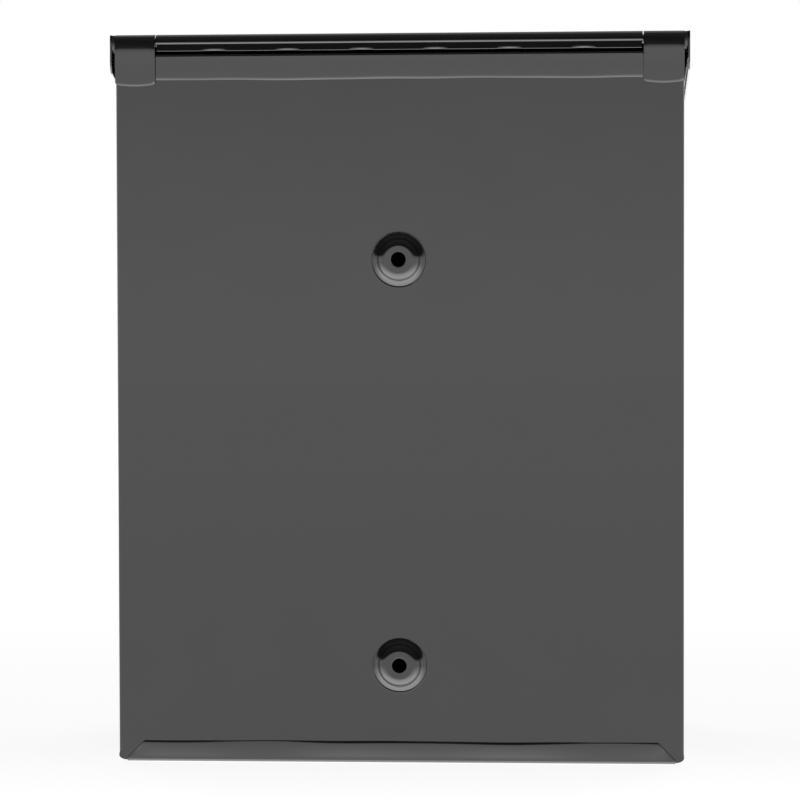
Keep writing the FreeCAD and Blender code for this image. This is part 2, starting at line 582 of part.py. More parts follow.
def make_lid():
    """Sloping pan with skirts on three sides and a rear lip rolled over the rod."""
    body = new_body("lid")
    skirt_low = "(dims.loop_outer - dims.lid_depth)"
    front_foot = on_slope(LID_FRONT, skirt_low)
    tail_top = f"({ROD_Z} + dims.loop_outer * cos(dims.lid_slope))"
    pad(body, "blank", "YZ_Plane", f"-{LID_SIDE}", LID_SIDE, [
        (LID_FRONT, front_foot), ("dims.lid_tail", on_slope("dims.lid_tail", skirt_low)),
        ("dims.lid_tail", tail_top), slanted("0", "dims.loop_outer"),
        (LID_FRONT, on_slope(LID_FRONT, "dims.loop_outer"))])
    fillet(body, "tail_corners", "dims.lid_corner", lambda box: (
        box.XLength > 50 and lies_at(box, y="dims.lid_tail")))
    fillet(body, "outer_bends", "dims.lid_bend", lambda box: (
        (lies_at(box, y=LID_FRONT) and box.ZMin > value(front_foot) - 0.1
         and not lies_at(box, z=front_foot))
        or (abs(abs(box.XMin) - value(LID_SIDE)) < 0.02 and box.XLength < 0.1 and box.YLength > 1
            and box.ZMax > value(tail_top) - 45 and not lies_on_foot(box))))
    pocket(body, "hollow", "YZ_Plane", f"-{LID_SIDE_INSIDE}", LID_SIDE_INSIDE, [
        (LID_FRONT_INSIDE, "300"), ("100", "300"), ("100", on_slope("100", LOOP_INNER)),
        (LID_FRONT_INSIDE, on_slope(LID_FRONT_INSIDE, LOOP_INNER))])
    tangent_y = slanted("0", "dims.loop_outer")[0]
    pocket(body, "rear_cut", "YZ_Plane", f"-{LID_SIDE_INSIDE}", LID_SIDE_INSIDE,
           rectangle(tangent_y, "100", "350", "420"))
    notch = f"({ROD_Y} - dims.loop_outer - dims.lid_notch)"
    for side, sign in (("left", -1), ("right", 1)):
        low, high = sorted([times(sign, CENTRE_HALF), times(sign, LID_SIDE_INSIDE)], key=value)
        pocket(body, f"notch_{side}", "YZ_Plane", low, high, rectangle(notch, "100", "350", "420"))
    rod = (ROD_Y, ROD_Z)
    start, finish = "90 + dims.lid_slope", "0 - dims.lip_turn"
    overlap = "0.5"
    pad(body, "rear_lip", "YZ_Plane", f"-{CENTRE_HALF}", CENTRE_HALF, [
        slanted(overlap, LOOP_INNER), (*polar(rod, LOOP_INNER, start), rod, -1),
        polar(rod, LOOP_INNER, finish), (*polar(rod, "dims.loop_outer", finish), rod, 1),
        polar(rod, "dims.loop_outer", start), slanted(overlap, "dims.loop_outer")])
    pad(body, "finger_lip", "YZ_Plane", f"-{LID_SIDE} + dims.lip_inset", f"{LID_SIDE} - dims.lip_inset", [
        (LID_FRONT_INSIDE, front_foot), (LID_FRONT_INSIDE, f"{front_foot} + {SHEET}"),
        (f"{LID_FRONT} - dims.finger_lip", f"{front_foot} + {SHEET}"),
        (f"{LID_FRONT} - dims.finger_lip", front_foot)])
    return body


def make_lid_barrel():
    """Leaf under the lid whose rear edge is curled round the rod."""
    body = new_body("lid_hinge_barrel")
    rod = (ROD_Y, ROD_Z)
    outer = f"({LOOP_INNER} - dims.run_fit)"
    inner = "(dims.rod_radius + dims.run_fit)"
    start, finish = "90 + dims.lid_slope", "0 - dims.barrel_curl"
    play = "dims.barrel_play"
    pad(body, "curl", "YZ_Plane", f"-{CENTRE_HALF} + {play}", f"{CENTRE_HALF} - {play}", [
        slanted("dims.barrel_leaf", inner), (*polar(rod, inner, start), rod, -1),
        polar(rod, inner, finish), (*polar(rod, outer, finish), rod, 1),
        polar(rod, outer, start), slanted("dims.barrel_leaf", outer)])
    return body


def make_bumper(side, sign):
    """Rubber button under a front corner of the lid."""
    bumper = doc.addObject("Part::Cylinder", f"lid_bumper_{side}")
    bumper.Label = f"lid_bumper_{side}"
    bumper.setExpression("Radius", "dims.bumper_radius")
    bumper.setExpression("Height", "dims.bumper_height")
    bumper.Placement.Rotation = FreeCAD.Rotation(Vector(1, 0, 0), 180 + value("dims.lid_slope"))
    along = f"(({ROD_Y} - {FRONT} - dims.frame_ledge / 2) / cos(dims.lid_slope))"
    y, z = slanted(along, LOOP_INNER)
    bumper.setExpression("Placement.Base.x", times(sign, "dims.bumper_place"))
    bumper.setExpression("Placement.Base.y", y)
    bumper.setExpression("Placement.Base.z", z)
    return bumper


# ---------------------------------------------------------------- door and its hinge
def make_door():
    """Door pan that lies flush in the opening."""
    body = new_body("door")
    half = "(dims.door_half - dims.door_gap)"
    low, high = "(dims.door_foot + dims.door_gap)", "(dims.door_head - dims.door_gap)"
    depth = f"({FRONT} + dims.door_return)"
    pad(body, "blank", "XZ_Plane", FRONT, depth, rectangle(f"-{half}", half, low, high))
    fillet(body, "corners", "2 * dims.bend_inner", lambda box: box.YLength > 7)
    fillet(body, "front_edge", "dims.bend_inner", lambda box: lies_at(box, y=FRONT))
    pocket(body, "hollow", "XZ_Plane", FRONT_INSIDE, f"{depth} + 1",
           rectangle(f"-{half} + {SHEET}", f"{half} - {SHEET}", f"{low} + {SHEET}", f"{high} - {SHEET}"))
    drill_leaf_holes(body, "hinge_holes", f"{HINGE_X} + {LEAF_RIVET_REACH}")
    pocket(body, "lock_hole", "XZ_Plane", f"{FRONT} - 1", f"{FRONT} + 3",
           (("dims.lock_side", "dims.lock_height"), "dims.lock_radius"))
    return body


def make_leaf(label, sign, knuckles):
    """Door hinge leaf: a flat strip with alternate knuckles round the pin."""
    body = new_body(label)
    face = f"({FRONT} - dims.leaf_sheet)"
    far = f"({HINGE_X} + {sign} * dims.leaf_width)"
    low, high = sorted([far, HINGE_X], key=value)
    pad(body, "strip", "XY_Plane", "dims.leaf_foot", LEAF_TOP, rectangle(low, high, face, FRONT))
    centre = (HINGE_X, HINGE_Y)
    pad(body, "barrel", "XY_Plane", "dims.leaf_foot", LEAF_TOP, (centre, "dims.barrel_radius"))
    pocket(body, "bore", "XY_Plane", "dims.leaf_foot - 1", f"{LEAF_TOP} + 1",
           (centre, "dims.pin_radius + dims.run_fit"))
    reach = "(dims.barrel_radius + dims.knuckle_clear)"
    near, away = f"({HINGE_X} - {reach})", f"({HINGE_X} + {reach})"
    for i in range(5):
        if i in knuckles:
            continue
        lower = ("dims.leaf_foot - 1" if i == 0
                 else f"dims.leaf_foot + {i} * dims.knuckle_pitch - dims.knuckle_play")
        upper = (f"{LEAF_TOP} + 1" if i == 4
                 else f"dims.leaf_foot + {i + 1} * dims.knuckle_pitch + dims.knuckle_play")
        pocket(body, f"gap_{i}", "XY_Plane", lower, upper, rectangle(
            near, away, f"({HINGE_Y} - {reach})", f"({FRONT} + 1)"))
    drill_leaf_holes(body, "rivet_holes", f"{HINGE_X} + {sign} * {LEAF_RIVET_REACH}")
    return body


def make_hinge_pin():
    """Pin of the door hinge."""
    body = new_body("door_hinge_pin")
    pad(body, "pin", "XY_Plane", "dims.leaf_foot", LEAF_TOP, ((HINGE_X, HINGE_Y), "dims.pin_radius"))
    return body


# ---------------------------------------------------------------- lock
LOCK_CENTRE = ("dims.lock_side", "dims.lock_height")
CAM_NEAR = f"({FRONT} + dims.cam_plane)"
CAM_FAR = f"({CAM_NEAR} + dims.cam_sheet)"


def make_lock_body():
    """Barrel with a flange in front of the door and a bore for the plug."""
    body = new_body("lock_body")
    head_face = f"({FRONT} - dims.lock_flange)"
    pad(body, "flange", "XZ_Plane", head_face, FRONT, (LOCK_CENTRE, "dims.lock_head"))
    fillet(body, "flange_edge", "dims.bend_inner", lambda box: lies_at(box, y=head_face))
    pad(body, "barrel", "XZ_Plane", FRONT, f"{CAM_NEAR} - dims.cam_gap",
        (LOCK_CENTRE, "dims.lock_radius"))
    pocket(body, "bore", "XZ_Plane", f"{FRONT} - 3", f"{CAM_NEAR} + 1",
           (LOCK_CENTRE, "dims.plug_radius + dims.run_fit"))
    return body


def make_lock_nut():
    """Hexagonal nut that clamps the lock to the door."""
    body = new_body("lock_nut")
    corner = "(dims.lock_radius + dims.nut_collar)"
    corners = [polar(LOCK_CENTRE, corner, str(30 + 60 * i)) for i in range(6)]
    top = f"({FRONT_INSIDE} + dims.nut_height)"
    pad(body, "nut", "XZ_Plane", FRONT_INSIDE, top, corners)
    pocket(body, "bore", "XZ_Plane", FRONT, f"{top} + 1", (LOCK_CENTRE, "dims.lock_radius"))
    return body


def square_end():
    """Outline of the plug's square end, which the cam fits over."""
    x, z = LOCK_CENTRE
    return rectangle(f"{x} - dims.plug_square", f"{x} + dims.plug_square",
                     f"{z} - dims.plug_square", f"{z} + dims.plug_square")


def make_lock_plug():
    """Plug that the key turns, with a square end for the cam."""
    body = new_body("lock_plug")
    x, z = LOCK_CENTRE
    pad(body, "plug", "XZ_Plane", f"{FRONT} - dims.plug_face", CAM_NEAR,
        (LOCK_CENTRE, "dims.plug_radius"))
    pad(body, "square", "XZ_Plane", CAM_NEAR, CAM_FAR, square_end())
    pocket(body, "keyway", "XZ_Plane", f"{FRONT} - 3", f"{FRONT} + 4", rectangle(
        f"{x} - dims.keyway_slot", f"{x} + dims.keyway_slot",
        f"{z} - dims.keyway_half", f"{z} + dims.keyway_half"))
    pocket(body, "thread", "XZ_Plane", f"{CAM_FAR} - dims.screw_length - 0.5", f"{CAM_FAR} + 1",
           (LOCK_CENTRE, "dims.screw_shank"))
    return body


def make_lock_cam():
    """Flat cam that hangs down when unlocked and reaches behind the frame when locked."""
    body = new_body("lock_cam")
    x, z = LOCK_CENTRE
    tip = (x, f"{z} - (dims.cam_reach - dims.cam_tip)")
    pad(body, "arm", "XZ_Plane", CAM_NEAR, CAM_FAR, [
        (f"{x} + dims.cam_half", z, LOCK_CENTRE, 1), (f"{x} - dims.cam_half", z),
        (f"{x} - dims.cam_tip", tip[1], tip, 1), (f"{x} + dims.cam_tip", tip[1])])
    pocket(body, "square", "XZ_Plane", f"{CAM_NEAR} - 1", f"{CAM_FAR} + 1", square_end())
    return body


def make_cam_screw():
    """Screw that holds the cam on the plug."""
    body = new_body("lock_cam_screw")
    top = f"({CAM_FAR} + dims.screw_height)"
    pad(body, "head", "XZ_Plane", CAM_FAR, top, (LOCK_CENTRE, "dims.screw_head"))
    fillet(body, "head_edge", "dims.bend_inner", lambda box: lies_at(box, y=top))
    pad(body, "shank", "XZ_Plane", f"{CAM_FAR} - dims.screw_length", CAM_FAR,
        (LOCK_CENTRE, "dims.screw_shank"))
    return body


# ---------------------------------------------------------------- assembly
pieces = [
    make_rear_shell(), make_bottom_pan(), make_front_frame(), make_baffle(),
    make_rivets("baffle_rivets", str(BAFFLE_RIVETS[0]), BAFFLE_RIVET_Z, FRONT, f"2 * {SHEET}",
                "X_Axis", str(BAFFLE_RIVETS[1] - BAFFLE_RIVETS[0]), len(BAFFLE_RIVETS)),
    make_rod(), make_lid(), make_lid_barrel(), make_door(),
    make_leaf("door_hinge_leaf_frame", -1, (0, 2, 4)),
    make_leaf("door_hinge_leaf_door", 1, (1, 3)),
    make_hinge_pin(), make_lock_body(), make_lock_nut(), make_lock_plug(), make_lock_cam(),
    make_cam_screw(),
]
for name, sign in (("frame", -1), ("door", 1)):
    pieces.append(make_rivets(
        f"door_hinge_rivets_{name}", f"{HINGE_X} + {sign} * {LEAF_RIVET_REACH}", LEAF_RIVET_Z,
        f"({FRONT} - dims.leaf_sheet)", f"({SHEET} + dims.leaf_sheet)", "Z_Axis",
        "dims.knuckle_pitch", LEAF_RIVETS))
for side, sign in (("left", -1), ("right", 1)):
    pieces += [make_bush(side, sign), make_rod_cap(side, sign), make_bumper(side, sign)]
doc.recompute()

for item in doc.Objects:
    if "Invalid" in item.State or "Error" in item.State:
        raise RuntimeError(f"{item.Label} is {item.State}")
for piece in pieces:
    if piece.Shape.isNull() or not piece.Shape.isValid():
        raise RuntimeError(f"{piece.Label} has no valid shape")

os.makedirs("parts", exist_ok=True)
for piece in pieces:
    piece.Shape.exportStep(f"parts/{piece.Label}.step")
    print(f"{piece.Label}: {len(piece.Shape.Solids)} solids, {piece.Shape.Volume:.0f} mm3")
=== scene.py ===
"""Parcel drop box: the looks of a wall-hung sheet-steel box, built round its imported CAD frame.

Every piece of sheet is folded, rolled and pressed from a flat blank as in a press shop, then given
the thickness of its sheet and the small rounding that shearing and coating leave on a raw edge.
"""

import json
import logging
import math
from dataclasses import dataclass, field
from enum import Enum
from typing import Callable, Sequence

import bmesh
import bpy
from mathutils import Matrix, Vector

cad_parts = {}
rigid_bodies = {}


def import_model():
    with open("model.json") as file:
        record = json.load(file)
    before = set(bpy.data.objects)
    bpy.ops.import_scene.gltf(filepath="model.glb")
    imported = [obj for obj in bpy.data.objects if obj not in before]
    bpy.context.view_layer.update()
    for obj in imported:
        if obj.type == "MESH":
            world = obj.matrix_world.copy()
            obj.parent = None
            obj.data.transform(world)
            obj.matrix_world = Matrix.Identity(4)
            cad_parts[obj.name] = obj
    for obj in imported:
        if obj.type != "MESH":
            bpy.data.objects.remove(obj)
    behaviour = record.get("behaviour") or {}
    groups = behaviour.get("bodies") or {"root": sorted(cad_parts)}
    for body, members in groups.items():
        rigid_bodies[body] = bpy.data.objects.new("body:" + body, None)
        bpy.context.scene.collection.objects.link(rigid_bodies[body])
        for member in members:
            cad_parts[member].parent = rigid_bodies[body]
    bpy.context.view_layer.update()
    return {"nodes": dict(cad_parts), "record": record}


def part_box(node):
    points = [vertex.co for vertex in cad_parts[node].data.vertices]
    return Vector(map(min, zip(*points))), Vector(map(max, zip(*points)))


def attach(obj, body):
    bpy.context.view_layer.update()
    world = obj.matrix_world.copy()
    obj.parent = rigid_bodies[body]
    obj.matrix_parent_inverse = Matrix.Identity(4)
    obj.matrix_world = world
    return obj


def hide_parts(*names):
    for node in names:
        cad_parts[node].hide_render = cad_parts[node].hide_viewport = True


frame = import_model()
MM = 0.001
LOG = logging.getLogger("parcel_drop_box")
Point = tuple[float, float]
Test = Callable[[Vector], bool]


class Body(Enum):
    """Bodies of the frame that pieces ride on."""

    BOX = "box"
    LID = "lid"
    DOOR = "door"
    LOCK = "lock"


class Slot(Enum):
    """Material slots of the record."""

    ENAMEL = "black_enamel"
    RIVETS = "black_rivets"
    ZINC = "zinc_steel"
    CHROME = "lock_chrome"
    NYLON = "black_nylon"
    RUBBER = "bumper_rubber"


# ---------------------------------------------------------------- materials
def srgb(code: str) -> tuple[float, float, float, float]:
    """Turn an sRGB hex value into the linear colour that a shader wants.

    Args:
        code: Six hex digits with a leading #.

    Returns:
        Linear red, green, blue and an alpha of 1.
    """
    parts = [int(code[i:i + 2], 16) / 255 for i in (1, 3, 5)]
    linear = [c / 12.92 if c <= 0.04045 else ((c + 0.055) / 1.055) ** 2.4 for c in parts]
    return (*linear, 1.0)


def add_node(tree: bpy.types.NodeTree, kind: str, settings: dict | None = None,
             inputs: dict | None = None, links: dict | None = None) -> bpy.types.Node:
    """Add a node with its settings, socket values and links.

    Args:
        tree: Node tree to add to.
        kind: Blender's name of the node.
        settings: Properties of the node.
        inputs: Values of its input sockets, by name or number.
        links: Output sockets that feed its inputs, by input name or number.

    Returns:
        The new node.
    """
    node = tree.nodes.new(kind)
    for name, setting in (settings or {}).items():
        setattr(node, name, setting)
    for name, amount in (inputs or {}).items():
        node.inputs[name].default_value = amount
    for name, output in (links or {}).items():
        tree.links.new(output, node.inputs[name])
    return node


def ramp(tree: bpy.types.NodeTree, source: bpy.types.NodeSocket, low: float, high: float,
         start: float = 0.0, end: float = 1.0) -> bpy.types.NodeSocket:
    """Map a pattern from one range to another and return the result.

    Args:
        tree: Node tree to add to.
        source: Pattern that is mapped.
        low: Result at the start of the pattern's range.
        high: Result at its end.
        start: Start of the pattern's range.
        end: End of the pattern's range.

    Returns:
        Socket with the mapped pattern.
    """
    node = add_node(tree, "ShaderNodeMapRange", inputs={1: start, 2: end, 3: low, 4: high},
                    links={0: source})
    return node.outputs[0]


def noise(tree: bpy.types.NodeTree, size_mm: float, detail: float = 2.0,
          stretch: Sequence[float] = (1, 1, 1)) -> bpy.types.NodeSocket:
    """Noise on object coordinates whose grain is size_mm across.

    Args:
        tree: Node tree to add to.
        size_mm: Size of the grain.
        detail: Octaves of finer grain.
        stretch: Factor on the grain's frequency along each axis.

    Returns:
        Socket with the noise, about 0 to 1.
    """
    coords = add_node(tree, "ShaderNodeTexCoord")
    scale = tuple(s / (size_mm * MM) for s in stretch)
    mapping = add_node(tree, "ShaderNodeMapping", inputs={"Scale": scale},
                       links={"Vector": coords.outputs["Object"]})
    grain = add_node(tree, "ShaderNodeTexNoise", inputs={"Scale": 1.0, "Detail": detail},
                     links={"Vector": mapping.outputs["Vector"]})
    return grain.outputs["Fac"]


@dataclass(frozen=True)
class Finish:
    """A surface finish that becomes one material.

    Args:
        name: Real material and process.
        colour: sRGB hex of the base colour.
        roughness: Mean roughness.
        spread: How far the roughness wanders either side of its mean.
    """

    name: str
    colour: str
    roughness: float
    spread: float = 0.0

    def shader(self) -> tuple[bpy.types.Material, bpy.types.NodeTree, bpy.types.Node]:
        """Make the material with its base colour and uniform values.

        Returns:
            The material, its node tree and its shader.
        """
        material = bpy.data.materials.new(self.name)
        material.use_nodes = True
        tree = material.node_tree
        principled = tree.nodes["Principled BSDF"]
        principled.inputs["Base Color"].default_value = srgb(self.colour)
        principled.inputs["Roughness"].default_value = self.roughness
        return material, tree, principled

    def wander(self, tree: bpy.types.NodeTree, principled: bpy.types.Node, size_mm: float,
               stretch: Sequence[float] = (1, 1, 1)) -> None:
        """Let the roughness wander with a noise of the given grain.

        Args:
            tree: Node tree of the material.
            principled: Its shader.
            size_mm: Size of the patches.
            stretch: Factor on their frequency along each axis.
        """
        patch = noise(tree, size_mm, 4.0, stretch)
        low, high = self.roughness - self.spread, self.roughness + self.spread
        tree.links.new(ramp(tree, patch, low, high, 0.3, 0.7), principled.inputs["Roughness"])

    def relief(self, tree: bpy.types.NodeTree, principled: bpy.types.Node, size_mm: float,
               height_mm: float, stretch: Sequence[float] = (1, 1, 1)) -> None:
        """Raise a noise of the given grain and height as a bump.

        Args:
            tree: Node tree of the material.
            principled: Its shader.
            size_mm: Size of the grain.
            height_mm: Height of the grain.
            stretch: Factor on its frequency along each axis.
        """
        bump = add_node(tree, "ShaderNodeBump",
                        inputs={"Strength": 1.0, "Distance": height_mm * MM},
                        links={"Height": noise(tree, size_mm, 2.0, stretch)})
        for socket in ("Normal", "Coat Normal"):
            tree.links.new(bump.outputs["Normal"], principled.inputs[socket])


@dataclass(frozen=True)
class BakedEnamel(Finish):
    """Gloss black stoving enamel on sheet steel: a deep black with a faint orange peel."""

    peel_mm: float = 2.4
    peel_height_mm: float = 0.004

    def build(self) -> bpy.types.Material:
        """Return the material.

        Returns:
            The material, ready for a slot.
        """
        material, tree, principled = self.shader()
        self.wander(tree, principled, 38.0)
        self.relief(tree, principled, self.peel_mm, self.peel_height_mm)
        principled.inputs["Coat Weight"].default_value = 1.0
        principled.inputs["Coat Roughness"].default_value = 0.05
        principled.inputs["Coat IOR"].default_value = 1.5
        return material


@dataclass(frozen=True)
class PlatedSteel(Finish):
    """Zinc-plated or chromed steel: bright metal with the fine lines of its drawing or turning."""

    line_mm: float = 0.5
    line_height_mm: float = 0.002
    along: tuple[float, float, float] = (0.06, 1.0, 1.0)

    def build(self) -> bpy.types.Material:
        """Return the material.

        Returns:
            The material, ready for a slot.
        """
        material, tree, principled = self.shader()
        principled.inputs["Metallic"].default_value = 1.0
        self.wander(tree, principled, 6.0)
        self.relief(tree, principled, self.line_mm, self.line_height_mm, self.along)
        return material


@dataclass(frozen=True)
class MouldedPlastic(Finish):
    """Moulded nylon or rubber: a dull black with the fine spark grain of the mould."""

    grain_mm: float = 0.45
    grain_height_mm: float = 0.01

    def build(self) -> bpy.types.Material:
        """Return the material.

        Returns:
            The material, ready for a slot.
        """
        material, tree, principled = self.shader()
        self.wander(tree, principled, 5.0)
        self.relief(tree, principled, self.grain_mm, self.grain_height_mm)
        return material


class Paints:
    """The object's finishes, made once and shared."""

    def __init__(self) -> None:
        """Make every material."""
        self.by_slot: dict[Slot, bpy.types.Material] = {
            # A deep black under a clear skin that mirrors the room softly, with a faint orange peel
            Slot.ENAMEL: BakedEnamel("gloss_black_stoving_enamel", "#0a0a0b", 0.2, 0.03).build(),
            # The same black, a little duller and finer in grain where it pooled round small heads
            Slot.RIVETS: BakedEnamel("black_enamelled_rivets", "#0c0c0d", 0.24, 0.04, 1.2).build(),
            # Pale grey metal with the fine lines of its drawing, so highlights smear along it
            Slot.ZINC: PlatedSteel("zinc_plated_drawn_steel", "#b9bbbd", 0.28, 0.06).build(),
            # A bright mirror that stands out against the enamel, with hardly any line
            Slot.CHROME: PlatedSteel("chromed_zinc_casting", "#d0d1d3", 0.12, 0.03,
                                     0.6, 0.0005, (1.0, 1.0, 1.0)).build(),
            # A satin black with the spark grain of its mould, duller than the enamel
            Slot.NYLON: MouldedPlastic("moulded_black_nylon", "#151515", 0.45, 0.06).build(),
            # A matt, slightly grey black that hardly shines at all
            Slot.RUBBER: MouldedPlastic("moulded_black_rubber", "#1b1b1b", 0.75, 0.08, 0.7,
                                        0.02).build(),
        }

    def dress(self, piece: bpy.types.Object, slot: Slot) -> None:
        """Give a piece the material of a slot."""
        piece.data.materials.clear()
        piece.data.materials.append(self.by_slot[slot])

    def dress_frame(self) -> None:
        """Give every CAD node the material of its own slot."""
        for part in frame["record"]["subparts"]:
            node = frame["nodes"][part["node"]]
            material = self.by_slot[Slot(part["material_slot"])]
            for place in node.material_slots:
                place.material = material


# ---------------------------------------------------------------- workbench
class Bench:
    """One piece in edit mode, worked with Blender's own modelling operators."""

    def __init__(self, name: str) -> None:
        """Start with nothing selected.

        Args:
            name: Name of the finished piece.
        """
        self.name = name
        if bpy.context.object and bpy.context.object.mode != "OBJECT":
            bpy.ops.object.mode_set(mode="OBJECT")
        bpy.ops.object.select_all(action="DESELECT")

    def adopt(self) -> None:
        """Name the primitive that was just added and open it in edit mode."""
        self.piece = bpy.context.object
        self.piece.name = self.name
        self.piece.data.name = self.name
        bpy.ops.object.mode_set(mode="EDIT")

    def sheet(self, x: Point, y: Point, z: Point) -> "Bench":
        """Start from a flat rectangle; one of the three ranges is a single level.

        Args:
            x: Lowest and highest x in mm.
            y: Lowest and highest y in mm.
            z: Lowest and highest z in mm.

        Returns:
            The bench.
        """
        middle = Vector(((x[0] + x[1]) / 2, (y[0] + y[1]) / 2, (z[0] + z[1]) / 2)) * MM
        turn = {0: (0, math.pi / 2, 0), 1: (math.pi / 2, 0, 0), 2: (0, 0, 0)}
        flat = [x[1] - x[0], y[1] - y[0], z[1] - z[0]].index(0.0)
        bpy.ops.mesh.primitive_plane_add(size=1, location=middle, rotation=turn[flat])
        bpy.ops.object.transform_apply(location=True, rotation=True, scale=True)
        self.adopt()
        spans = [max(side[1] - side[0], 1000.0 * (i == flat)) * MM for i, side in enumerate((x, y, z))]
        bpy.ops.transform.resize(value=spans, center_override=middle)
        return self

    def ring(self, centre: Sequence[float], radius: float, vertices: int = 64,
             facing: str = "Y") -> "Bench":
        """Start from, or add, an open circle about the named axis, sizes in mm.

        Args:
            centre: Middle of the circle.
            radius: Its radius.
            vertices: Corners of the circle.
            facing: Axis of the circle, X, Y or Z.

        Returns:
            The bench.
        """
        turn = {"X": (0, math.pi / 2, 0), "Y": (math.pi / 2, 0, 0), "Z": (0, 0, 0)}[facing]
        if bpy.context.mode != "OBJECT":
            bpy.ops.mesh.select_all(action="DESELECT")
        bpy.ops.mesh.primitive_circle_add(
            vertices=vertices, radius=radius * MM, location=Vector(centre) * MM, rotation=turn)
        if bpy.context.mode == "OBJECT":
            bpy.ops.object.transform_apply(location=True, rotation=True, scale=True)
            self.adopt()
        return self

    def pick(self, mode: str, test: Test) -> int:
        """Select the elements whose corners all pass a test in mm.

        Args:
            mode: VERT, EDGE or FACE.
            test: Given a corner's place in mm.

        Returns:
            How many were selected.
        """
        bpy.ops.mesh.select_mode(type=mode)
        bpy.ops.mesh.select_all(action="DESELECT")
        shape = bmesh.from_edit_mesh(self.piece.data)
        items = {"VERT": shape.verts, "EDGE": shape.edges, "FACE": shape.faces}[mode]
        count = 0
        for item in items:
            corners = [item] if mode == "VERT" else item.verts
            if all(test(corner.co / MM) for corner in corners):
                item.select_set(True)
                count += 1
        shape.select_flush_mode()
        bmesh.update_edit_mesh(self.piece.data)
        if not count:
            raise ValueError(f"{self.name}: nothing to pick")
        return count

    def pick_border(self, test: Test) -> None:
        """Select the open edges whose corners all pass a test in mm.

        Args:
            test: Given a corner's place in mm.
        """
        bpy.ops.mesh.select_mode(type="EDGE")
        bpy.ops.mesh.select_all(action="DESELECT")
        shape = bmesh.from_edit_mesh(self.piece.data)
        chosen = [edge for edge in shape.edges
                  if len(edge.link_faces) < 2 and all(test(end.co / MM) for end in edge.verts)]
        for edge in chosen:
            edge.select_set(True)
        bmesh.update_edit_mesh(self.piece.data)
        if not chosen:
            raise ValueError(f"{self.name}: no open edge there")

    def cut(self, axis: str, *levels: float, only: Test | None = None) -> None:
        """Score lines across the sheet at levels of one axis.

        Args:
            axis: X, Y or Z.
            levels: Places of the lines along it in mm.
            only: Picks the faces that are scored; all of them if it is left out.
        """
        normal = {"X": (1, 0, 0), "Y": (0, 1, 0), "Z": (0, 0, 1)}[axis]
        for level in levels:
            if only is None:
                bpy.ops.mesh.select_all(action="SELECT")
            else:
                self.pick("FACE", only)
            bpy.ops.mesh.bisect(plane_co=Vector(normal) * level * MM, plane_no=normal,
                                threshold=0.001 * MM)

    def trim(self, point: Sequence[float], normal: Sequence[float], only: Test) -> None:
        """Cut away what lies past a plane, among the faces that pass a test.

        Args:
            point: A point of the plane in mm.
            normal: Way in which the waste lies.
            only: Picks the faces that are trimmed.
        """
        self.pick("FACE", only)
        bpy.ops.mesh.bisect(plane_co=Vector(point) * MM, plane_no=normal, clear_outer=True,
                            threshold=0.001 * MM)

    def pull(self, x: float = 0.0, y: float = 0.0, z: float = 0.0) -> None:
        """Extrude the selected edges by a distance in mm."""
        bpy.ops.mesh.extrude_edges_move(
            TRANSFORM_OT_translate={"value": (x * MM, y * MM, z * MM)})

    def move(self, x: float = 0.0, y: float = 0.0, z: float = 0.0) -> None:
        """Move what is selected by a distance in mm."""
        bpy.ops.transform.translate(value=(x * MM, y * MM, z * MM))

    def grow(self, factor: Sequence[float], centre: Sequence[float]) -> None:
        """Scale what is selected about a point in mm."""
        bpy.ops.transform.resize(value=factor, center_override=Vector(centre) * MM)

    def roll(self, centre: Sequence[float], axis: Sequence[float], degrees: float,
             steps: int) -> None:
        """Roll the selected edges round an axis, anticlockwise as its arrow comes at the eye."""
        bpy.ops.mesh.spin(steps=steps, angle=math.radians(degrees), center=Vector(centre) * MM,
                          axis=-Vector(axis))

    def fold(self, radius: float, test: Test, segments: int = 6) -> None:
        """Round the folds whose corners pass a test to a bend radius in mm.

        Args:
            radius: Outside radius of the bend.
            test: Picks the folds by their corners.
            segments: Flats along the bend.
        """
        self.pick("EDGE", test)
        bpy.ops.mesh.bevel(offset=radius * MM, segments=segments, profile=0.5, affect="EDGES",
                           clamp_overlap=False)

    def pierce(self, centres: Sequence[Sequence[float]], radius: float, cell: float,
               only: Test, vertices: int = 64) -> None:
        """Open round holes in a flat upright sheet, each inside a square cell scored round it.

        Args:
            centres: Middles of the holes in mm, one above the other.
            radius: Radius of the holes in mm.
            cell: Half side of a scored square in mm.
            only: The flat that the cells are scored in.
            vertices: Corners of a round edge, a multiple of four.
        """
        x, y, _ = centres[0]
        self.cut("X", x - cell, x + cell, only=only)
        for _, _, z in centres:
            self.cut("Z", z - cell, z + cell, only=only)
        for _, _, z in centres:
            def inside(p: Vector, z: float = z) -> bool:
                """Whether a place is in the scored square."""
                return near(p.y, y) and abs(p.x - x) < cell + 0.05 and abs(p.z - z) < cell + 0.05
            self.pick("FACE", inside)
            bpy.ops.mesh.delete(type="FACE")
            self.pick_border(inside)
            bpy.ops.mesh.subdivide(number_cuts=vertices // 4 - 1)
            self.pick_border(inside)
            self.pull()
            bpy.ops.transform.tosphere(value=1.0)
            middle = Vector((x, y, z))
            shape = bmesh.from_edit_mesh(self.piece.data)
            reach = next((v.co / MM - middle).length for v in shape.verts if v.select)
            self.grow((radius / reach, 1.0, radius / reach), middle)

    def rings(self, centre: Sequence[float], facing: str, profile: Sequence[Point]) -> None:
        """Draw an open round edge through a profile by pulling and scaling it ring by ring.

        Args:
            centre: Middle of the first ring in mm.
            facing: Axis of the rings, X, Y or Z.
            profile: Radius and level along the axis of each ring; the first is the open edge.
        """
        along = "XYZ".index(facing)
        middle = Vector(centre)
        for (radius, level), (next_radius, next_level) in zip(profile, profile[1:]):
            height = middle[along] + level

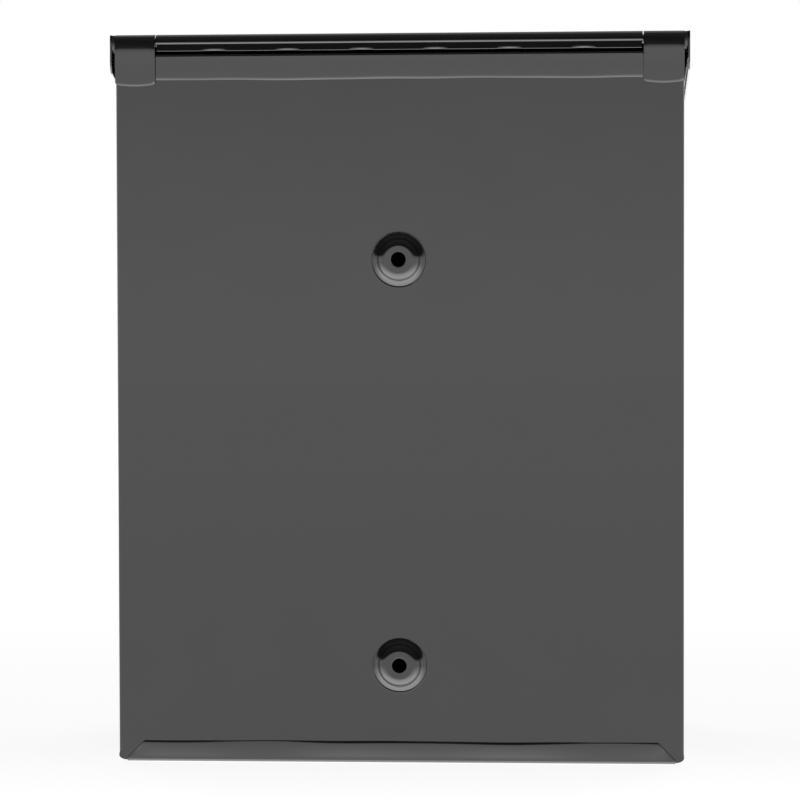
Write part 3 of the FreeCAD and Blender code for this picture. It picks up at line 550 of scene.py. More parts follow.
            def ring(p: Vector) -> bool:
                """Whether a place is on the open ring.

                Args:
                    p: Place in mm.

                Returns:
                    True on the ring that is open now.
                """
                away = p - middle
                away[along] = 0.0
                return near(p[along], height) and abs(away.length - radius) < 0.02
            self.pick_border(ring)
            step = [0.0, 0.0, 0.0]
            step[along] = next_level - level
            self.pull(*step)
            factor = [next_radius / radius] * 3
            factor[along] = 1.0
            self.grow(factor, middle)

    def corner(self, radius: float, test: Test, segments: int = 6) -> None:
        """Round flat corners whose place passes a test.

        Args:
            radius: Radius of the corners in mm.
            test: Picks the corners.
            segments: Flats along the round.
        """
        self.pick("VERT", test)
        bpy.ops.mesh.bevel(offset=radius * MM, segments=segments, profile=0.5, affect="VERTICES",
                           clamp_overlap=False)

    def sway(self, test: Test, shift: Callable[[Vector], Vector]) -> None:
        """Push the vertices that pass a test by a smooth function of their place, in mm.

        Args:
            test: Picks the vertices.
            shift: Given a vertex's place, the push.
        """
        shape = bmesh.from_edit_mesh(self.piece.data)
        for corner in shape.verts:
            place = corner.co / MM
            if test(place):
                corner.co += shift(place) * MM
        bmesh.update_edit_mesh(self.piece.data)

    def weld(self, distance: float = 0.005) -> None:
        """Merge doubled vertices and point every face the same way.

        Args:
            distance: Vertices closer than this, in mm, are merged.
        """
        bpy.ops.mesh.select_all(action="SELECT")
        bpy.ops.mesh.remove_doubles(threshold=distance * MM)
        bpy.ops.mesh.normals_make_consistent(inside=False)

    def face_like(self, test: Test, direction: Sequence[float]) -> None:
        """Turn all faces over if the first one that passes a test looks away from a direction.

        Args:
            test: Picks a face by its corners in mm.
            direction: Way that it has to look.
        """
        shape = bmesh.from_edit_mesh(self.piece.data)
        shape.normal_update()
        wanted = Vector(direction)
        for face in shape.faces:
            if all(test(corner.co / MM) for corner in face.verts):
                if face.normal.dot(wanted) < 0:
                    bpy.ops.mesh.select_all(action="SELECT")
                    bpy.ops.mesh.flip_normals()
                return
        raise ValueError(f"{self.name}: no face to look at")

    def thicken(self, thickness: float, offset: float = -1.0) -> None:
        """Give the sheet its thickness in mm.

        Args:
            thickness: Thickness of the sheet.
            offset: -1 adds it behind the faces, 1 in front.
        """
        bpy.ops.object.mode_set(mode="OBJECT")
        solid = self.piece.modifiers.new("sheet", "SOLIDIFY")
        solid.thickness = thickness * MM
        solid.offset = offset
        solid.use_even_offset = True
        solid.use_quality_normals = True
        bpy.ops.object.modifier_apply(modifier=solid.name)

    def soften(self, radius: float, segments: int = 3, angle: float = 50.0) -> None:
        """Round every sharp edge to a small radius in mm.

        Args:
            radius: Radius of the rounding.
            segments: Flats along it.
            angle: Turn in degrees from which an edge counts as sharp.
        """
        if bpy.context.mode != "OBJECT":
            bpy.ops.object.mode_set(mode="OBJECT")
        edge = self.piece.modifiers.new("raw_edge", "BEVEL")
        edge.width = radius * MM
        edge.segments = segments
        edge.limit_method = "ANGLE"
        edge.angle_limit = math.radians(angle)
        edge.harden_normals = False
        bpy.ops.object.modifier_apply(modifier=edge.name)

    def done(self, smooth: float = 32.0) -> bpy.types.Object:
        """Leave edit mode and shade the piece, with flat faces kept flat beside their roundings.

        Args:
            smooth: Angle in degrees up to which neighbouring faces shade smoothly.

        Returns:
            The finished object, at the origin.
        """
        if bpy.context.mode != "OBJECT":
            bpy.ops.object.mode_set(mode="OBJECT")
        bpy.ops.object.select_all(action="DESELECT")
        self.piece.select_set(True)
        bpy.context.view_layer.objects.active = self.piece
        bpy.ops.object.transform_apply(location=True, rotation=True, scale=True)
        bpy.ops.object.shade_smooth_by_angle(angle=math.radians(smooth))
        even = self.piece.modifiers.new("flat_faces_lead", "WEIGHTED_NORMAL")
        even.keep_sharp = True
        bpy.ops.object.modifier_apply(modifier=even.name)
        return self.piece


def near(value: float, level: float, slack: float = 0.02) -> bool:
    """Whether a coordinate is at a level, in mm."""
    return abs(value - level) < slack


@dataclass
class Press:
    """Sizes of the box that several pieces share, in mm, read from the frame where it shows them."""

    sheet: float = 0.9
    raw_edge: float = 0.3
    lid_slope: float = 14.0
    rod_inset: float = 2.6
    loop_outer: float = 4.9
    lid_gap: float = 2.2
    half: float = field(init=False)
    back: float = field(init=False)
    front: float = field(init=False)
    rod_y: float = field(init=False)
    rod_z: float = field(init=False)

    def __post_init__(self) -> None:
        """Read the outer sizes from the frame."""
        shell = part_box("rear_shell")
        rod_low, rod_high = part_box("hinge_rod")
        self.half = shell[1].x / MM
        self.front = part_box("front_frame")[0].y / MM
        self.rod_y = (rod_low.y + rod_high.y) / 2 / MM
        self.rod_z = (rod_low.z + rod_high.z) / 2 / MM
        self.back = self.rod_y + self.rod_inset

    def on_slope(self, y: float, rise: float) -> float:
        """Height at y of the line parallel to the lid, rise above the rod's axis."""
        slope = math.radians(self.lid_slope)
        return self.rod_z - (self.rod_y - y) * math.tan(slope) + rise / math.cos(slope)


class Piecework:
    """Base of the sub-assemblies: registers finished pieces with the frame."""

    def __init__(self, press: Press, paints: Paints) -> None:
        """Keep the shared sizes and finishes."""
        self.press = press
        self.paints = paints

    def fit(self, piece: bpy.types.Object, body: Body, slot: Slot, *nodes: str) -> None:
        """Dress a piece, let it ride on its body and let it stand for its CAD nodes.

        Args:
            piece: The finished piece.
            body: Body that it rides on.
            slot: Material slot that it takes its finish from.
            nodes: CAD nodes that it stands for.
        """
        self.paints.dress(piece, slot)
        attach(piece, body.value)
        if nodes:
            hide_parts(*nodes)
        LOG.info("%s: %d faces on %s", piece.name, len(piece.data.polygons), body.value)

    def coat(self, bench: Bench, body: Body, node: str, test: Test,
             direction: Sequence[float]) -> bpy.types.Object:
        """Give a folded sheet its thickness, its soft raw edges and its enamel.

        Args:
            bench: Bench with the folded sheet in edit mode.
            body: Body that the piece rides on.
            node: CAD node that it stands for.
            test: Picks a face, from corners in mm, that shows which side is out.
            direction: Way that this face looks.

        Returns:
            The finished piece.
        """
        bench.weld()
        bench.face_like(test, direction)
        bench.thicken(self.press.sheet)
        bench.soften(self.press.raw_edge)
        piece = bench.done()
        self.fit(piece, body, Slot.ENAMEL, node)
        return piece


# ---------------------------------------------------------------- rear shell
@dataclass
class RearShell:
    """Back and sides in one bent sheet, with wall bosses, folded hem and rolled knuckles."""

    work: Piecework
    knuckle_width: float = 21.6
    knuckle_gap: float = 0.5
    bend: float = 1.8
    base_bend: float = 4.5
    base_flange: float = 16.0
    shoulder_drop: float = 8.6
    hem_top: float = 381.7
    hem_foot: float = 368.1
    hem_radius: float = 1.55
    hem_rise: float = 1.2
    tail_foot: float = 366.0
    tail_corner: float = 1.6
    tail_bow: float = 1.0
    tail_column: float = 3.0
    tail_shares: tuple[Point, ...] = ((0.22, 0.14), (0.73, 0.79), (0.05, 0.07))
    crank_turn: float = 225.0
    hem_shares: tuple[float, ...] = (0.45, 0.45, 0.1)
    hem_foot_wave: float = 0.35
    knuckle_turn: float = 218.0
    knuckle_lean: Point = (0.3, 3.0)
    foot_tuck: float = 0.28
    foot_bulge: float = 0.2
    base_gap: float = 0.05
    hole_radius: float = 4.0
    boss_base: float = 15.4
    boss_flat: float = 6.9
    boss_rise: float = 5.0
    boss_cell: float = 26.0
    boss_steps: int = 14
    boss_apron: float = 4.0
    boss_blend: float = 2.0
    hole_rim: float = 0.9
    boss_heights: tuple[float, float] = (53.0, 271.0)
    column: float = 6.5

    def build(self) -> bpy.types.Object:
        """Fold the shell from one flat blank.

        Returns:
            The finished shell.
        """
        press = self.work.press
        bench = Bench("rear_shell_folded")
        half, back, foot = press.half, press.back, press.sheet + self.base_gap
        shoulder = press.rod_z - self.shoulder_drop
        knuckle = half - self.knuckle_width
        centre = knuckle - self.knuckle_gap
        bench.sheet((-half, half), (back, back), (foot, shoulder + 0.4))
        for sign in (-1, 1):
            bench.cut("X", sign * knuckle, sign * centre)
        bench.cut("Z", self.base_bend + press.sheet, shoulder)
        columns = int(2 * centre / self.column)
        bench.cut("X", *[-centre + 2 * centre * i / columns for i in range(1, columns)],
                  only=lambda p: p.z > shoulder - 0.1 and abs(p.x) < centre + 0.1)
        self.press_bosses(bench, centre, shoulder)
        self.fold_hem(bench, centre, shoulder)
        self.roll_knuckles(bench, knuckle, shoulder)
        self.fold_sides(bench, shoulder)
        return self.work.coat(bench, Body.BOX, "rear_shell", lambda p: near(p.y, back), (0, 1, 0))

    def press_bosses(self, bench: Bench, centre: float, shoulder: float) -> None:
        """Press the two stand-off bosses and pierce their screw holes.

        Args:
            bench: Bench with the shell's blank.
            centre: Half width of the hemmed middle in mm.
            shoulder: Height of the back's plain panel in mm.
        """
        back = self.work.press.back
        turn = 2 * math.atan(self.boss_rise / (self.boss_base - self.boss_flat))
        bend = (self.boss_base - self.boss_flat) / (2 * math.sin(turn))
        steps = [turn * i / self.boss_steps for i in range(self.boss_steps + 1)]
        rim = self.boss_base + self.boss_apron
        profile = [(rim, 0.0), (rim - self.boss_blend, 0.0)]
        profile += [(self.boss_base - bend * math.sin(t), bend * (1 - math.cos(t))) for t in steps]
        profile += [(self.boss_flat + bend * math.sin(t), self.boss_rise - bend * (1 - math.cos(t)))
                    for t in reversed(steps[:-1])]
        profile += [(self.hole_radius + self.hole_rim, self.boss_rise),
                    (self.hole_radius, self.boss_rise)]
        places = [(0, back, height) for height in self.boss_heights]
        bench.pierce(places, rim, self.boss_cell, lambda p: (
            abs(p.x) < centre + 0.1 and self.base_bend < p.z < shoulder + 0.1))
        for place in places:
            bench.rings(place, "Y", profile)

    def fold_hem(self, bench: Bench, centre: float, shoulder: float) -> None:
        """Fold the middle of the top edge outwards and down on itself.

        Args:
            bench: Bench with the shell's blank.
            centre: Half width of the hemmed middle in mm.
            shoulder: Height of the back's plain panel in mm.
        """
        press = self.work.press
        back, inner = press.back, self.hem_radius - press.sheet
        fold_z = self.hem_top - self.hem_radius
        top = shoulder + 0.4
        bench.pick_border(lambda p: near(p.z, top) and abs(p.x) < centre + 0.1)
        bench.move(z=fold_z - top)
        bench.pick_border(lambda p: near(p.z, fold_z) and abs(p.x) < centre + 0.1)
        bench.roll((0, back + inner, fold_z), (-1, 0, 0), 180, 10)
        bench.pick_border(lambda p: near(p.z, fold_z) and p.y > back + inner)
        lean = self.hem_rise - press.sheet
        depth = fold_z - self.hem_foot
        for part in self.hem_shares:
            bench.pull(y=-part * (2 * inner - lean), z=-part * depth)
        foot = self.hem_foot
        bench.sway(lambda p: abs(p.x) < centre + 0.1 and p.z < foot + 2 and p.y > back + 0.1,
                   lambda p: Vector((0, self.foot_bulge * (0.6 + 0.4 * hem_wave(p.x / centre))
                                     if p.z > foot + 0.1 else -self.foot_tuck,
                                     self.hem_foot_wave * hem_wave(p.x / centre + 0.37))))

    def roll_knuckles(self, bench: Bench, knuckle: float, shoulder: float) -> None:
        """Crank each end tab inwards, roll it over the rod and lay its tail on the back.

        Args:
            bench: Bench with the shell's blank.
            knuckle: Inner edge of a tab from the middle in mm.
            shoulder: Height of the back's plain panel in mm.
        """
        press = self.work.press
        back, radius = press.back, press.loop_outer - press.sheet
        crank_y = press.rod_y - radius * math.sin(math.pi / 4)
        crank_z = press.rod_z - radius * math.cos(math.pi / 4)
        leg_foot = crank_z - (back - crank_y)
        top = shoulder + 0.4
        tail = back + self.hem_rise - press.sheet
        for sign in (-1, 1):
            def tab(p: Vector, sign: int = sign) -> bool:
                """Whether a place is on this side's end tab."""
                return p.x * sign > knuckle - 0.1 and p.z > shoulder - 1
            bench.pick_border(lambda p: tab(p) and near(p.z, top))
            bench.move(z=leg_foot - top)
            bench.pick_border(lambda p: tab(p) and near(p.z, leg_foot))
            bench.pull(y=crank_y - back, z=crank_z - leg_foot)
            bench.pick_border(lambda p: tab(p) and near(p.z, crank_z) and near(p.y, crank_y))
            bench.roll((0, press.rod_y, press.rod_z), (-1, 0, 0), self.knuckle_turn, 26)
            end = math.radians(self.crank_turn - self.knuckle_turn)
            end_y = press.rod_y + radius * math.cos(end)
            end_z = press.rod_z + radius * math.sin(end)
            bench.pick_border(lambda p: tab(p) and near(p.y, end_y) and near(p.z, end_z))
            out, down = self.knuckle_lean
            bench.pull(y=out, z=-down)
            inward, drop = tail - end_y - out, self.tail_foot - end_z + down
            for share_y, share_z in self.tail_shares:
                bench.pull(y=inward * share_y, z=drop * share_z)

            def tail_end(p: Vector, sign: int = sign) -> bool:
                """Whether a place is on this side's tail."""
                return (p.x * sign > knuckle - 0.1 and p.y > back + 0.05
                        and self.tail_foot - 0.1 < p.z < end_z - down + 0.1)
            count = int(self.knuckle_width / self.tail_column)
            bench.cut("X", *[sign * (knuckle + (press.half - knuckle) * i / count)
                             for i in range(1, count)],
                      only=tail_end)
            bench.corner(self.tail_corner, lambda p: near(p.z, self.tail_foot, 0.1) and (
                near(p.x, sign * press.half) or near(p.x, sign * knuckle)), 5)
            middle, reach = (press.half + knuckle) / 2, self.knuckle_width / 2
            bench.sway(lambda p: tail_end(p) and p.z < self.tail_foot + 3,
                       lambda p: Vector((
                           0, -self.foot_tuck if p.z < self.tail_foot + 0.5 else self.foot_bulge,
                           -self.tail_bow * (1 - ((abs(p.x) - middle) / reach) ** 2))))

    def fold_sides(self, bench: Bench, shoulder: float) -> None:
        """Fold the sides forward, slope their rims and turn their lower edges in.

        Args:
            bench: Bench with the shell's blank.
            shoulder: Height of the back's plain panel in mm.
        """
        press = self.work.press
        half, back = press.half, press.back
        low = self.base_bend + press.sheet
        foot = press.sheet + self.base_gap
        reach = back - (press.front + self.bend)
        relief = press.rod_y - press.loop_outer - 1
        rim = 1.0
        for sign in (-1, 1):
            def side(p: Vector, sign: int = sign) -> bool:
                """Whether a place is on this side wall."""
                return near(p.x, sign * half)
            bench.pick_border(lambda p: side(p) and near(p.y, back) and low - 0.1 < p.z < shoulder + 0.1)
            bench.pull(y=-reach)
            bench.cut("Y", relief, only=side)
            bench.pick_border(lambda p: side(p) and near(p.z, shoulder) and p.y < relief + 0.1)
            bench.pull(z=press.on_slope(relief, rim) - shoulder)
            bench.trim((0, relief, press.on_slope(relief, rim)),
                       (0, -math.sin(math.radians(press.lid_slope)),
                        math.cos(math.radians(press.lid_slope))),
                       lambda p: side(p) and p.y < relief + 0.1)
            bench.cut("Y", back - self.bend - 0.2, only=side)
            bench.pick_border(lambda p: side(p) and near(p.z, low) and p.y < back - self.bend)
            bench.pull(z=press.sheet - low)
            bench.pick_border(lambda p: side(p) and near(p.z, press.sheet))
            bench.pull(x=-sign * self.base_flange)
            bench.fold(self.base_bend, lambda p: side(p) and near(p.z, press.sheet))
            bench.fold(self.bend, lambda p: side(p) and near(p.y, back) and p.z > low - 0.1)
            bench.corner(low - foot - 0.05, lambda p: side(p) and near(p.z, foot, 0.15), 8)


def hem_wave(t: float) -> float:
    """Smooth uneven wave that pressing by hand leaves along an edge, between -1 and 1."""
    return (math.sin(5.1 * t + 0.6) + 0.6 * math.sin(11.3 * t + 2.1) + 0.4 * math.sin(19.7 * t)) / 2


@dataclass
class FloorPan:
    """Floor sheet with a mitred flange outside the back and a flange inside the front."""

    work: Piecework
    bend: float = 1.8
    rear_top: float = 11.7
    front_top: float = 12.0
    mitre_low: float = 150.3
    mitre_high: float = 138.2
    column: float = 6.0
    bow: float = 0.75
    bow_foot: float = 4.0
    lean: float = 1.9
    wave: float = 0.3

    def build(self) -> bpy.types.Object:
        """Fold the pan and let its spot-welded rear flange pucker a little along its edge.

        Returns:
            The finished pan.
        """
        press = self.work.press
        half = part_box("bottom_pan")[1].x / MM
        rear, front = press.back + press.sheet, press.front + press.sheet
        bench = Bench("floor_pan_folded")
        bench.sheet((-half, half), (front, rear), (0, 0))
        count = int(2 * half / self.column)
        bench.cut("X", *[-half + 2 * half * i / count for i in range(1, count)])
        level = 0.0
        for height in (self.bow_foot, self.rear_top - self.lean, self.rear_top):
            bench.pick_border(lambda p: near(p.y, rear) and near(p.z, level))
            bench.pull(z=height - level)
            level = height
        bench.pick_border(lambda p: near(p.y, front) and near(p.z, 0))
        bench.pull(z=self.front_top)
        for sign in (-1, 1):
            run, rise = self.mitre_low - self.mitre_high, self.rear_top
            bench.trim((sign * self.mitre_low, 0, 0), (sign * rise, 0, run),
                       lambda p: near(p.y, rear) and p.z > -0.1)
        bench.fold(self.bend, lambda p: near(p.z, 0) and (near(p.y, rear) or near(p.y, front)))
        crest = self.rear_top - self.lean
        bench.sway(lambda p: near(p.y, rear) and p.z > self.bow_foot + 0.1,
                   lambda p: Vector((0, self.bow * pucker(p.x) * near(p.z, crest),
                                     self.wave * hem_wave(p.x / half) * (p.z > crest - 0.1))))
        return self.work.coat(bench, Body.BOX, "bottom_pan", lambda p: near(p.z, 0), (0, 0, -1))


def pucker(x: float) -> float:
    """How far a flange stands off between its spot welds at x mm, from a quarter to one."""
    return 0.62 + 0.38 * math.sin(x / 21.0 + 0.9) * math.sin(x / 47.0 + 0.3)


# ---------------------------------------------------------------- lid
@dataclass
class Lid:
    """Sloping lid pan whose rear edge wraps the hinge rod, with its barrel and bumpers."""

    work: Piecework
    bend: float = 2.6
    depth: float = 20.0
    corner: float = 5.5
    tail: float = 79.0
    finger_lip: float = 2.9
    lip_inset: float = 12.0
    lip_end: float = 5.0
    tuck_radius: float = 1.1
    tuck_turn: float = 68.0
    notch: float = 0.7
    knuckle: float = 22.1
    leaf: float = 26.0
    curl_end: float = 10.0
    strip_foot: Point = (4.6, -4.4)
    dents: tuple[float, ...] = (19.8, 59.4, 99.0)
    dent_half: float = 8.0
    dent_columns: int = 6
    dent_rows: int = 4
    dent_rise: float = 1.4
    dent_depth: float = 0.75
    leaf_corner: float = 4.0
    bumper_seat: float = 1.35
    bumper_vertices: int = 48
    bumper_height: float = 2.7
    fit: float = 0.05
    end_play: float = 0.4

    def build(self) -> None:
        """Build the lid, its barrel and its bumpers."""
        self.fold_pan()
        self.curl_barrel()
        self.mould_bumpers()

    def fold_pan(self) -> bpy.types.Object:
        """Fold the pan on three sides and roll its rear edge over the rod.

        Returns:
            The finished lid.
        """
        press = self.work.press
        slope = math.radians(press.lid_slope)
        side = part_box("lid")[1].x / MM
        front = press.front - press.lid_gap - press.sheet
        rise = press.loop_outer
        tangent = press.rod_y - rise * math.sin(slope)
        notch = press.rod_y - rise - self.notch
        centre, strip = press.half - self.knuckle, side - self.bend
        start = press.on_slope(front, rise)
        drop = self.depth / math.cos(slope)
        step = (tangent - notch) * math.tan(slope)
        bench = Bench("lid_folded")
        bench.sheet((-side, side), (front, notch), (start, start))
        bench.pick_border(lambda p: near(p.y, notch))
        bench.move(z=press.on_slope(notch, rise) - start)
        lip = side - self.lip_inset
        bench.cut("X", -strip, -lip, -centre, centre, lip, strip)
        bench.pick_border(lambda p: near(p.y, notch) and not centre + 0.1 < abs(p.x) < strip - 0.1)
        bench.pull(y=tangent - notch, z=step)
        bench.pick("FACE", lambda p: p.y > notch - 0.1 and centre - 0.1 < abs(p.x) < strip + 0.1)
        bpy.ops.mesh.delete(type="ONLY_FACE")
        bench.pick_border(lambda p: near(p.y, tangent) and abs(p.x) < centre + 0.1)
        bench.roll((0, press.rod_y, press.rod_z), (-1, 0, 0),
                   90 + press.lid_slope - self.lip_end, 18)
        end, reach = math.radians(self.lip_end), rise - self.tuck_radius
        end_y, end_z = press.rod_y + rise * math.cos(end), press.rod_z + rise * math.sin(end)
        bench.pick_border(lambda p: near(p.y, end_y) and near(p.z, end_z))
        bench.roll((0, press.rod_y + reach * math.cos(end), press.rod_z + reach * math.sin(end)),
                   (-1, 0, 0), self.tuck_turn, 8)
        bench.pick_border(lambda p: near(abs(p.x), side) or near(p.y, front))
        bench.pull(z=-drop)
        bench.pick_border(lambda p: near(abs(p.x), side) and near(p.y, tangent))
        bench.pull(y=self.tail - tangent, z=(self.tail - tangent) * math.tan(slope))
        bench.pick("VERT", lambda p: near(p.y, self.tail) and p.z > press.rod_z)
        bench.move(z=-(self.tail - tangent) * math.tan(slope))
        bench.pick_border(lambda p: near(p.y, front) and abs(p.x) < lip + 0.1)
        bench.move(z=press.sheet)
        bench.pull(y=-self.finger_lip)

        def on_two_faces(p: Vector) -> bool:
            """Whether a place is where two faces of the pan meet.

            Args:
                p: Place in mm.

            Returns:
                True along the folds.
            """
            planes = (near(abs(p.x), side), near(p.y, front),
                      near(p.z, press.on_slope(p.y, rise)) and p.y < tangent + 0.1)
            return sum(planes) > 1
        bench.fold(self.bend, on_two_faces)
        bench.corner(self.corner, lambda p: near(p.y, self.tail), 8)
        return self.work.coat(bench, Body.LID, "lid",
                              lambda p: near(p.z, press.on_slope(p.y, rise)), (0, 0, 1))

    def curl_barrel(self) -> bpy.types.Object:
        """Curl the barrel's leaf over the rod, down to a strip with pressed dents.

        Returns:
            The finished barrel.
        """
        press = self.work.press
        slope = math.radians(press.lid_slope)
        radius = press.loop_outer - press.sheet - self.fit
        half = press.half - self.knuckle - self.end_play
        near_end = press.rod_y - radius * math.sin(slope)
        far_end = near_end - self.leaf * math.cos(slope)
        start = press.on_slope(far_end, radius)
        bench = Bench("lid_barrel_curled")
        bench.sheet((-half, half), (far_end, near_end), (start, start))
        bench.pick_border(lambda p: near(p.y, near_end))
        bench.move(z=press.on_slope(near_end, radius) - start)
        bench.roll((0, press.rod_y, press.rod_z), (-1, 0, 0),
                   90 + press.lid_slope - self.curl_end, 18)
        end = math.radians(self.curl_end)
        end_y, end_z = press.rod_y + radius * math.cos(end), press.rod_z + radius * math.sin(end)
        foot_y, foot_z = press.rod_y + self.strip_foot[0], press.rod_z + self.strip_foot[1]
        bench.pick_border(lambda p: near(p.y, end_y) and near(p.z, end_z))
        bench.pull(y=foot_y - end_y, z=foot_z - end_z)
        top = foot_z + self.dent_rise

        def strip(p: Vector) -> bool:
            """Whether a place is on the strip under the curl."""
            return p.y > end_y - 0.05 and p.z < end_z + 0.05
        places = [sign * x for x in self.dents for sign in (-1, 1)]
        columns, rows = self.dent_columns, self.dent_rows
        bench.cut("X", *[x + self.dent_half * i / columns
                         for x in places for i in range(-columns, columns + 1)], only=strip)
        bench.cut("Z", *[foot_z + self.dent_rise * i / rows for i in range(1, rows + 1)],
                  only=strip)

        def dent(p: Vector) -> Vector:
            """How far a place is pressed in by its nearest dent.

            Args:
                p: Place in mm.

            Returns:
                The push in mm.
            """
            away = min(abs(p.x - x) for x in places) / self.dent_half
            depth = ((top - p.z) / self.dent_rise) ** 2 * max(0.0, 1 - away ** 2) ** 2
            return Vector((0, -self.dent_depth * depth, 0))
        bench.sway(lambda p: strip(p) and p.z < top, dent)
        bench.corner(self.leaf_corner, lambda p: near(p.y, far_end))
        return self.work.coat(bench, Body.LID, "lid_hinge_barrel",
                              lambda p: near(p.z, press.on_slope(p.y, radius)), (0, 0, 1))

    def mould_bumpers(self) -> None:
        """Mould one domed button and set a copy under each front corner."""
        press = self.work.press
        for side in ("left", "right"):
            low, high = (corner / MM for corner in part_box(f"lid_bumper_{side}"))
            bench = Bench(f"rubber_bumper_{side}")
            slope = math.radians(press.lid_slope)
            up = Vector((0, -math.sin(slope), math.cos(slope)))
            middle = (low + high) / 2
            radius = (high.x - low.x) / 2
            top = middle + up * self.bumper_seat
            foot = -self.bumper_height
            bench.ring((0, 0, 0), radius, self.bumper_vertices, "Z")
            bench.rings((0, 0, 0), "Z", [
                (radius, 0), (radius, foot + 0.8), (radius - 0.35, foot + 0.3),
                (radius - 1.1, foot + 0.04), (radius - 3.2, foot)])
            bench.pick_border(lambda p: near(p.z, foot))
            bpy.ops.mesh.fill()
            bench.pick_border(lambda p: near(p.z, 0))
            bpy.ops.mesh.fill()
            bench.weld()
            bpy.ops.transform.rotate(value=-slope, orient_axis="X", center_override=(0, 0, 0))
            bench.move(*top)
            piece = bench.done()
            self.work.fit(piece, Body.LID, Slot.RUBBER, f"lid_bumper_{side}")


# ---------------------------------------------------------------- front
@dataclass
class Front:
    """Front frame, baffle and door pan."""

    work: Piecework
    bend: float = 1.8
    inner_bend: float = 0.9
    ledge: float = 12.0
    rim_rise: float = 1.0
    frame_return: float = 14.0
    base_bend: float = 4.5
    base_relief: float = 1.0
    ledge_inset: float = 1.9
    opening_half: float = 122.0
    opening_foot: float = 28.0
    opening_head: float = 232.0
    collar: float = 9.0
    door_gap: float = 1.2
    door_return: float = 8.0
    lock: tuple[float, float] = (96.8, 130.0)
    lock_radius: float = 9.0
    baffle_knee: float = 286.0
    baffle_fall: float = 35.0
    baffle_reach: float = 5.0
    baffle_lip: float = 9.0
    baffle_corner: float = 3.0
    lock_cell: float = 14.0
    lock_vertices: int = 48

    def build(self) -> None:
        """Build the three sheets."""
        self.fold_frame()
        self.fold_baffle()
        self.fold_door()

    def fold_frame(self) -> bpy.types.Object:
        """Fold the frame: side returns, a ledge under the lid and a collar round the opening.

        Returns:
            The finished frame.
        """
        press = self.work.press
        half, foot = press.half - press.sheet, press.sheet + 0.1
        front, opening = press.front, self.opening_half
        top = press.on_slope(front, self.rim_rise)
        clear = self.base_bend + press.sheet + self.base_relief
        bench = Bench("front_frame_folded")
        bench.sheet((-half, half), (front, front), (foot, top))
        bench.cut("X", -opening, opening)
        bench.cut("Z", clear, self.opening_foot, self.opening_head)

        def hole(p: Vector) -> bool:
            """Whether a place is in the door opening or on its edge."""
            return abs(p.x) < opening + 0.1 and self.opening_foot - 0.1 < p.z < self.opening_head + 0.1
        bench.pick("FACE", hole)
        bpy.ops.mesh.delete(type="ONLY_FACE")
        bench.pick_border(hole)
        bench.pull(y=self.collar)
        bench.pick_border(lambda p: near(abs(p.x), half) and p.z > clear - 0.1)
        bench.pull(y=self.frame_return)
        bench.pick_border(lambda p: near(p.z, top) and near(p.y, front))
        bench.pull(y=self.ledge, z=self.ledge * math.tan(math.radians(press.lid_slope)))
        bench.sway(lambda p: p.z > top + 1 and near(abs(p.x), half),
                   lambda p: Vector((-math.copysign(self.ledge_inset, p.x), 0, 0)))
        bench.fold(self.inner_bend, lambda p: near(p.y, front) and hole(p))
        bench.fold(self.bend, lambda p: near(p.y, front) and near(abs(p.x), half) and p.z > clear - 0.1)
        return self.work.coat(bench, Body.BOX, "front_frame", lambda p: near(p.y, front), (0, -1, 0))

    def fold_baffle(self) -> bpy.types.Object:
        """Fold the baffle: a flange on the front, a fall to the rear and a lip.

        Returns:
            The finished baffle.
        """
        press = self.work.press
        low, high = (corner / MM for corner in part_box("baffle"))
        face = press.front + 2 * press.sheet
        fall = math.tan(math.radians(self.baffle_fall))
        bench = Bench("baffle_folded")
        bench.sheet((low.x, high.x), (face, face), (self.baffle_knee, high.z))
        bench.pick_border(lambda p: near(p.z, self.baffle_knee))
        end = self.baffle_knee - (self.baffle_reach - face) * fall
        bench.pull(y=self.baffle_reach - face, z=end - self.baffle_knee)
        bench.pull(z=-self.baffle_lip)
        bench.fold(self.bend, lambda p: near(p.z, self.baffle_knee) or near(p.z, end))
        bench.corner(self.baffle_corner, lambda p: near(p.z, high.z))
        return self.work.coat(bench, Body.BOX, "baffle", lambda p: near(p.y, face), (0, 1, 0))

    def fold_door(self) -> bpy.types.Object:
        """Fold the door pan and pierce it for the lock.

        Returns:
            The finished door.
        """
        press = self.work.press
        half = self.opening_half - self.door_gap
        low, high = self.opening_foot + self.door_gap, self.opening_head - self.door_gap
        front = press.front
        bench = Bench("door_folded")
        bench.sheet((-half, half), (front, front), (low, high))
        bench.pierce([(self.lock[0], front, self.lock[1])], self.lock_radius, self.lock_cell,
                     lambda p: True, self.lock_vertices)

        def rim(p: Vector) -> bool:
            """Whether a place is on the door's outline."""
            return near(abs(p.x), half) or near(p.z, low) or near(p.z, high)
        bench.pick_border(rim)
        bench.pull(y=self.door_return)
        bench.fold(self.inner_bend, lambda p: rim(p) and near(p.y, front))
        return self.work.coat(bench, Body.DOOR, "door", lambda p: near(p.y, front), (0, -1, 0))


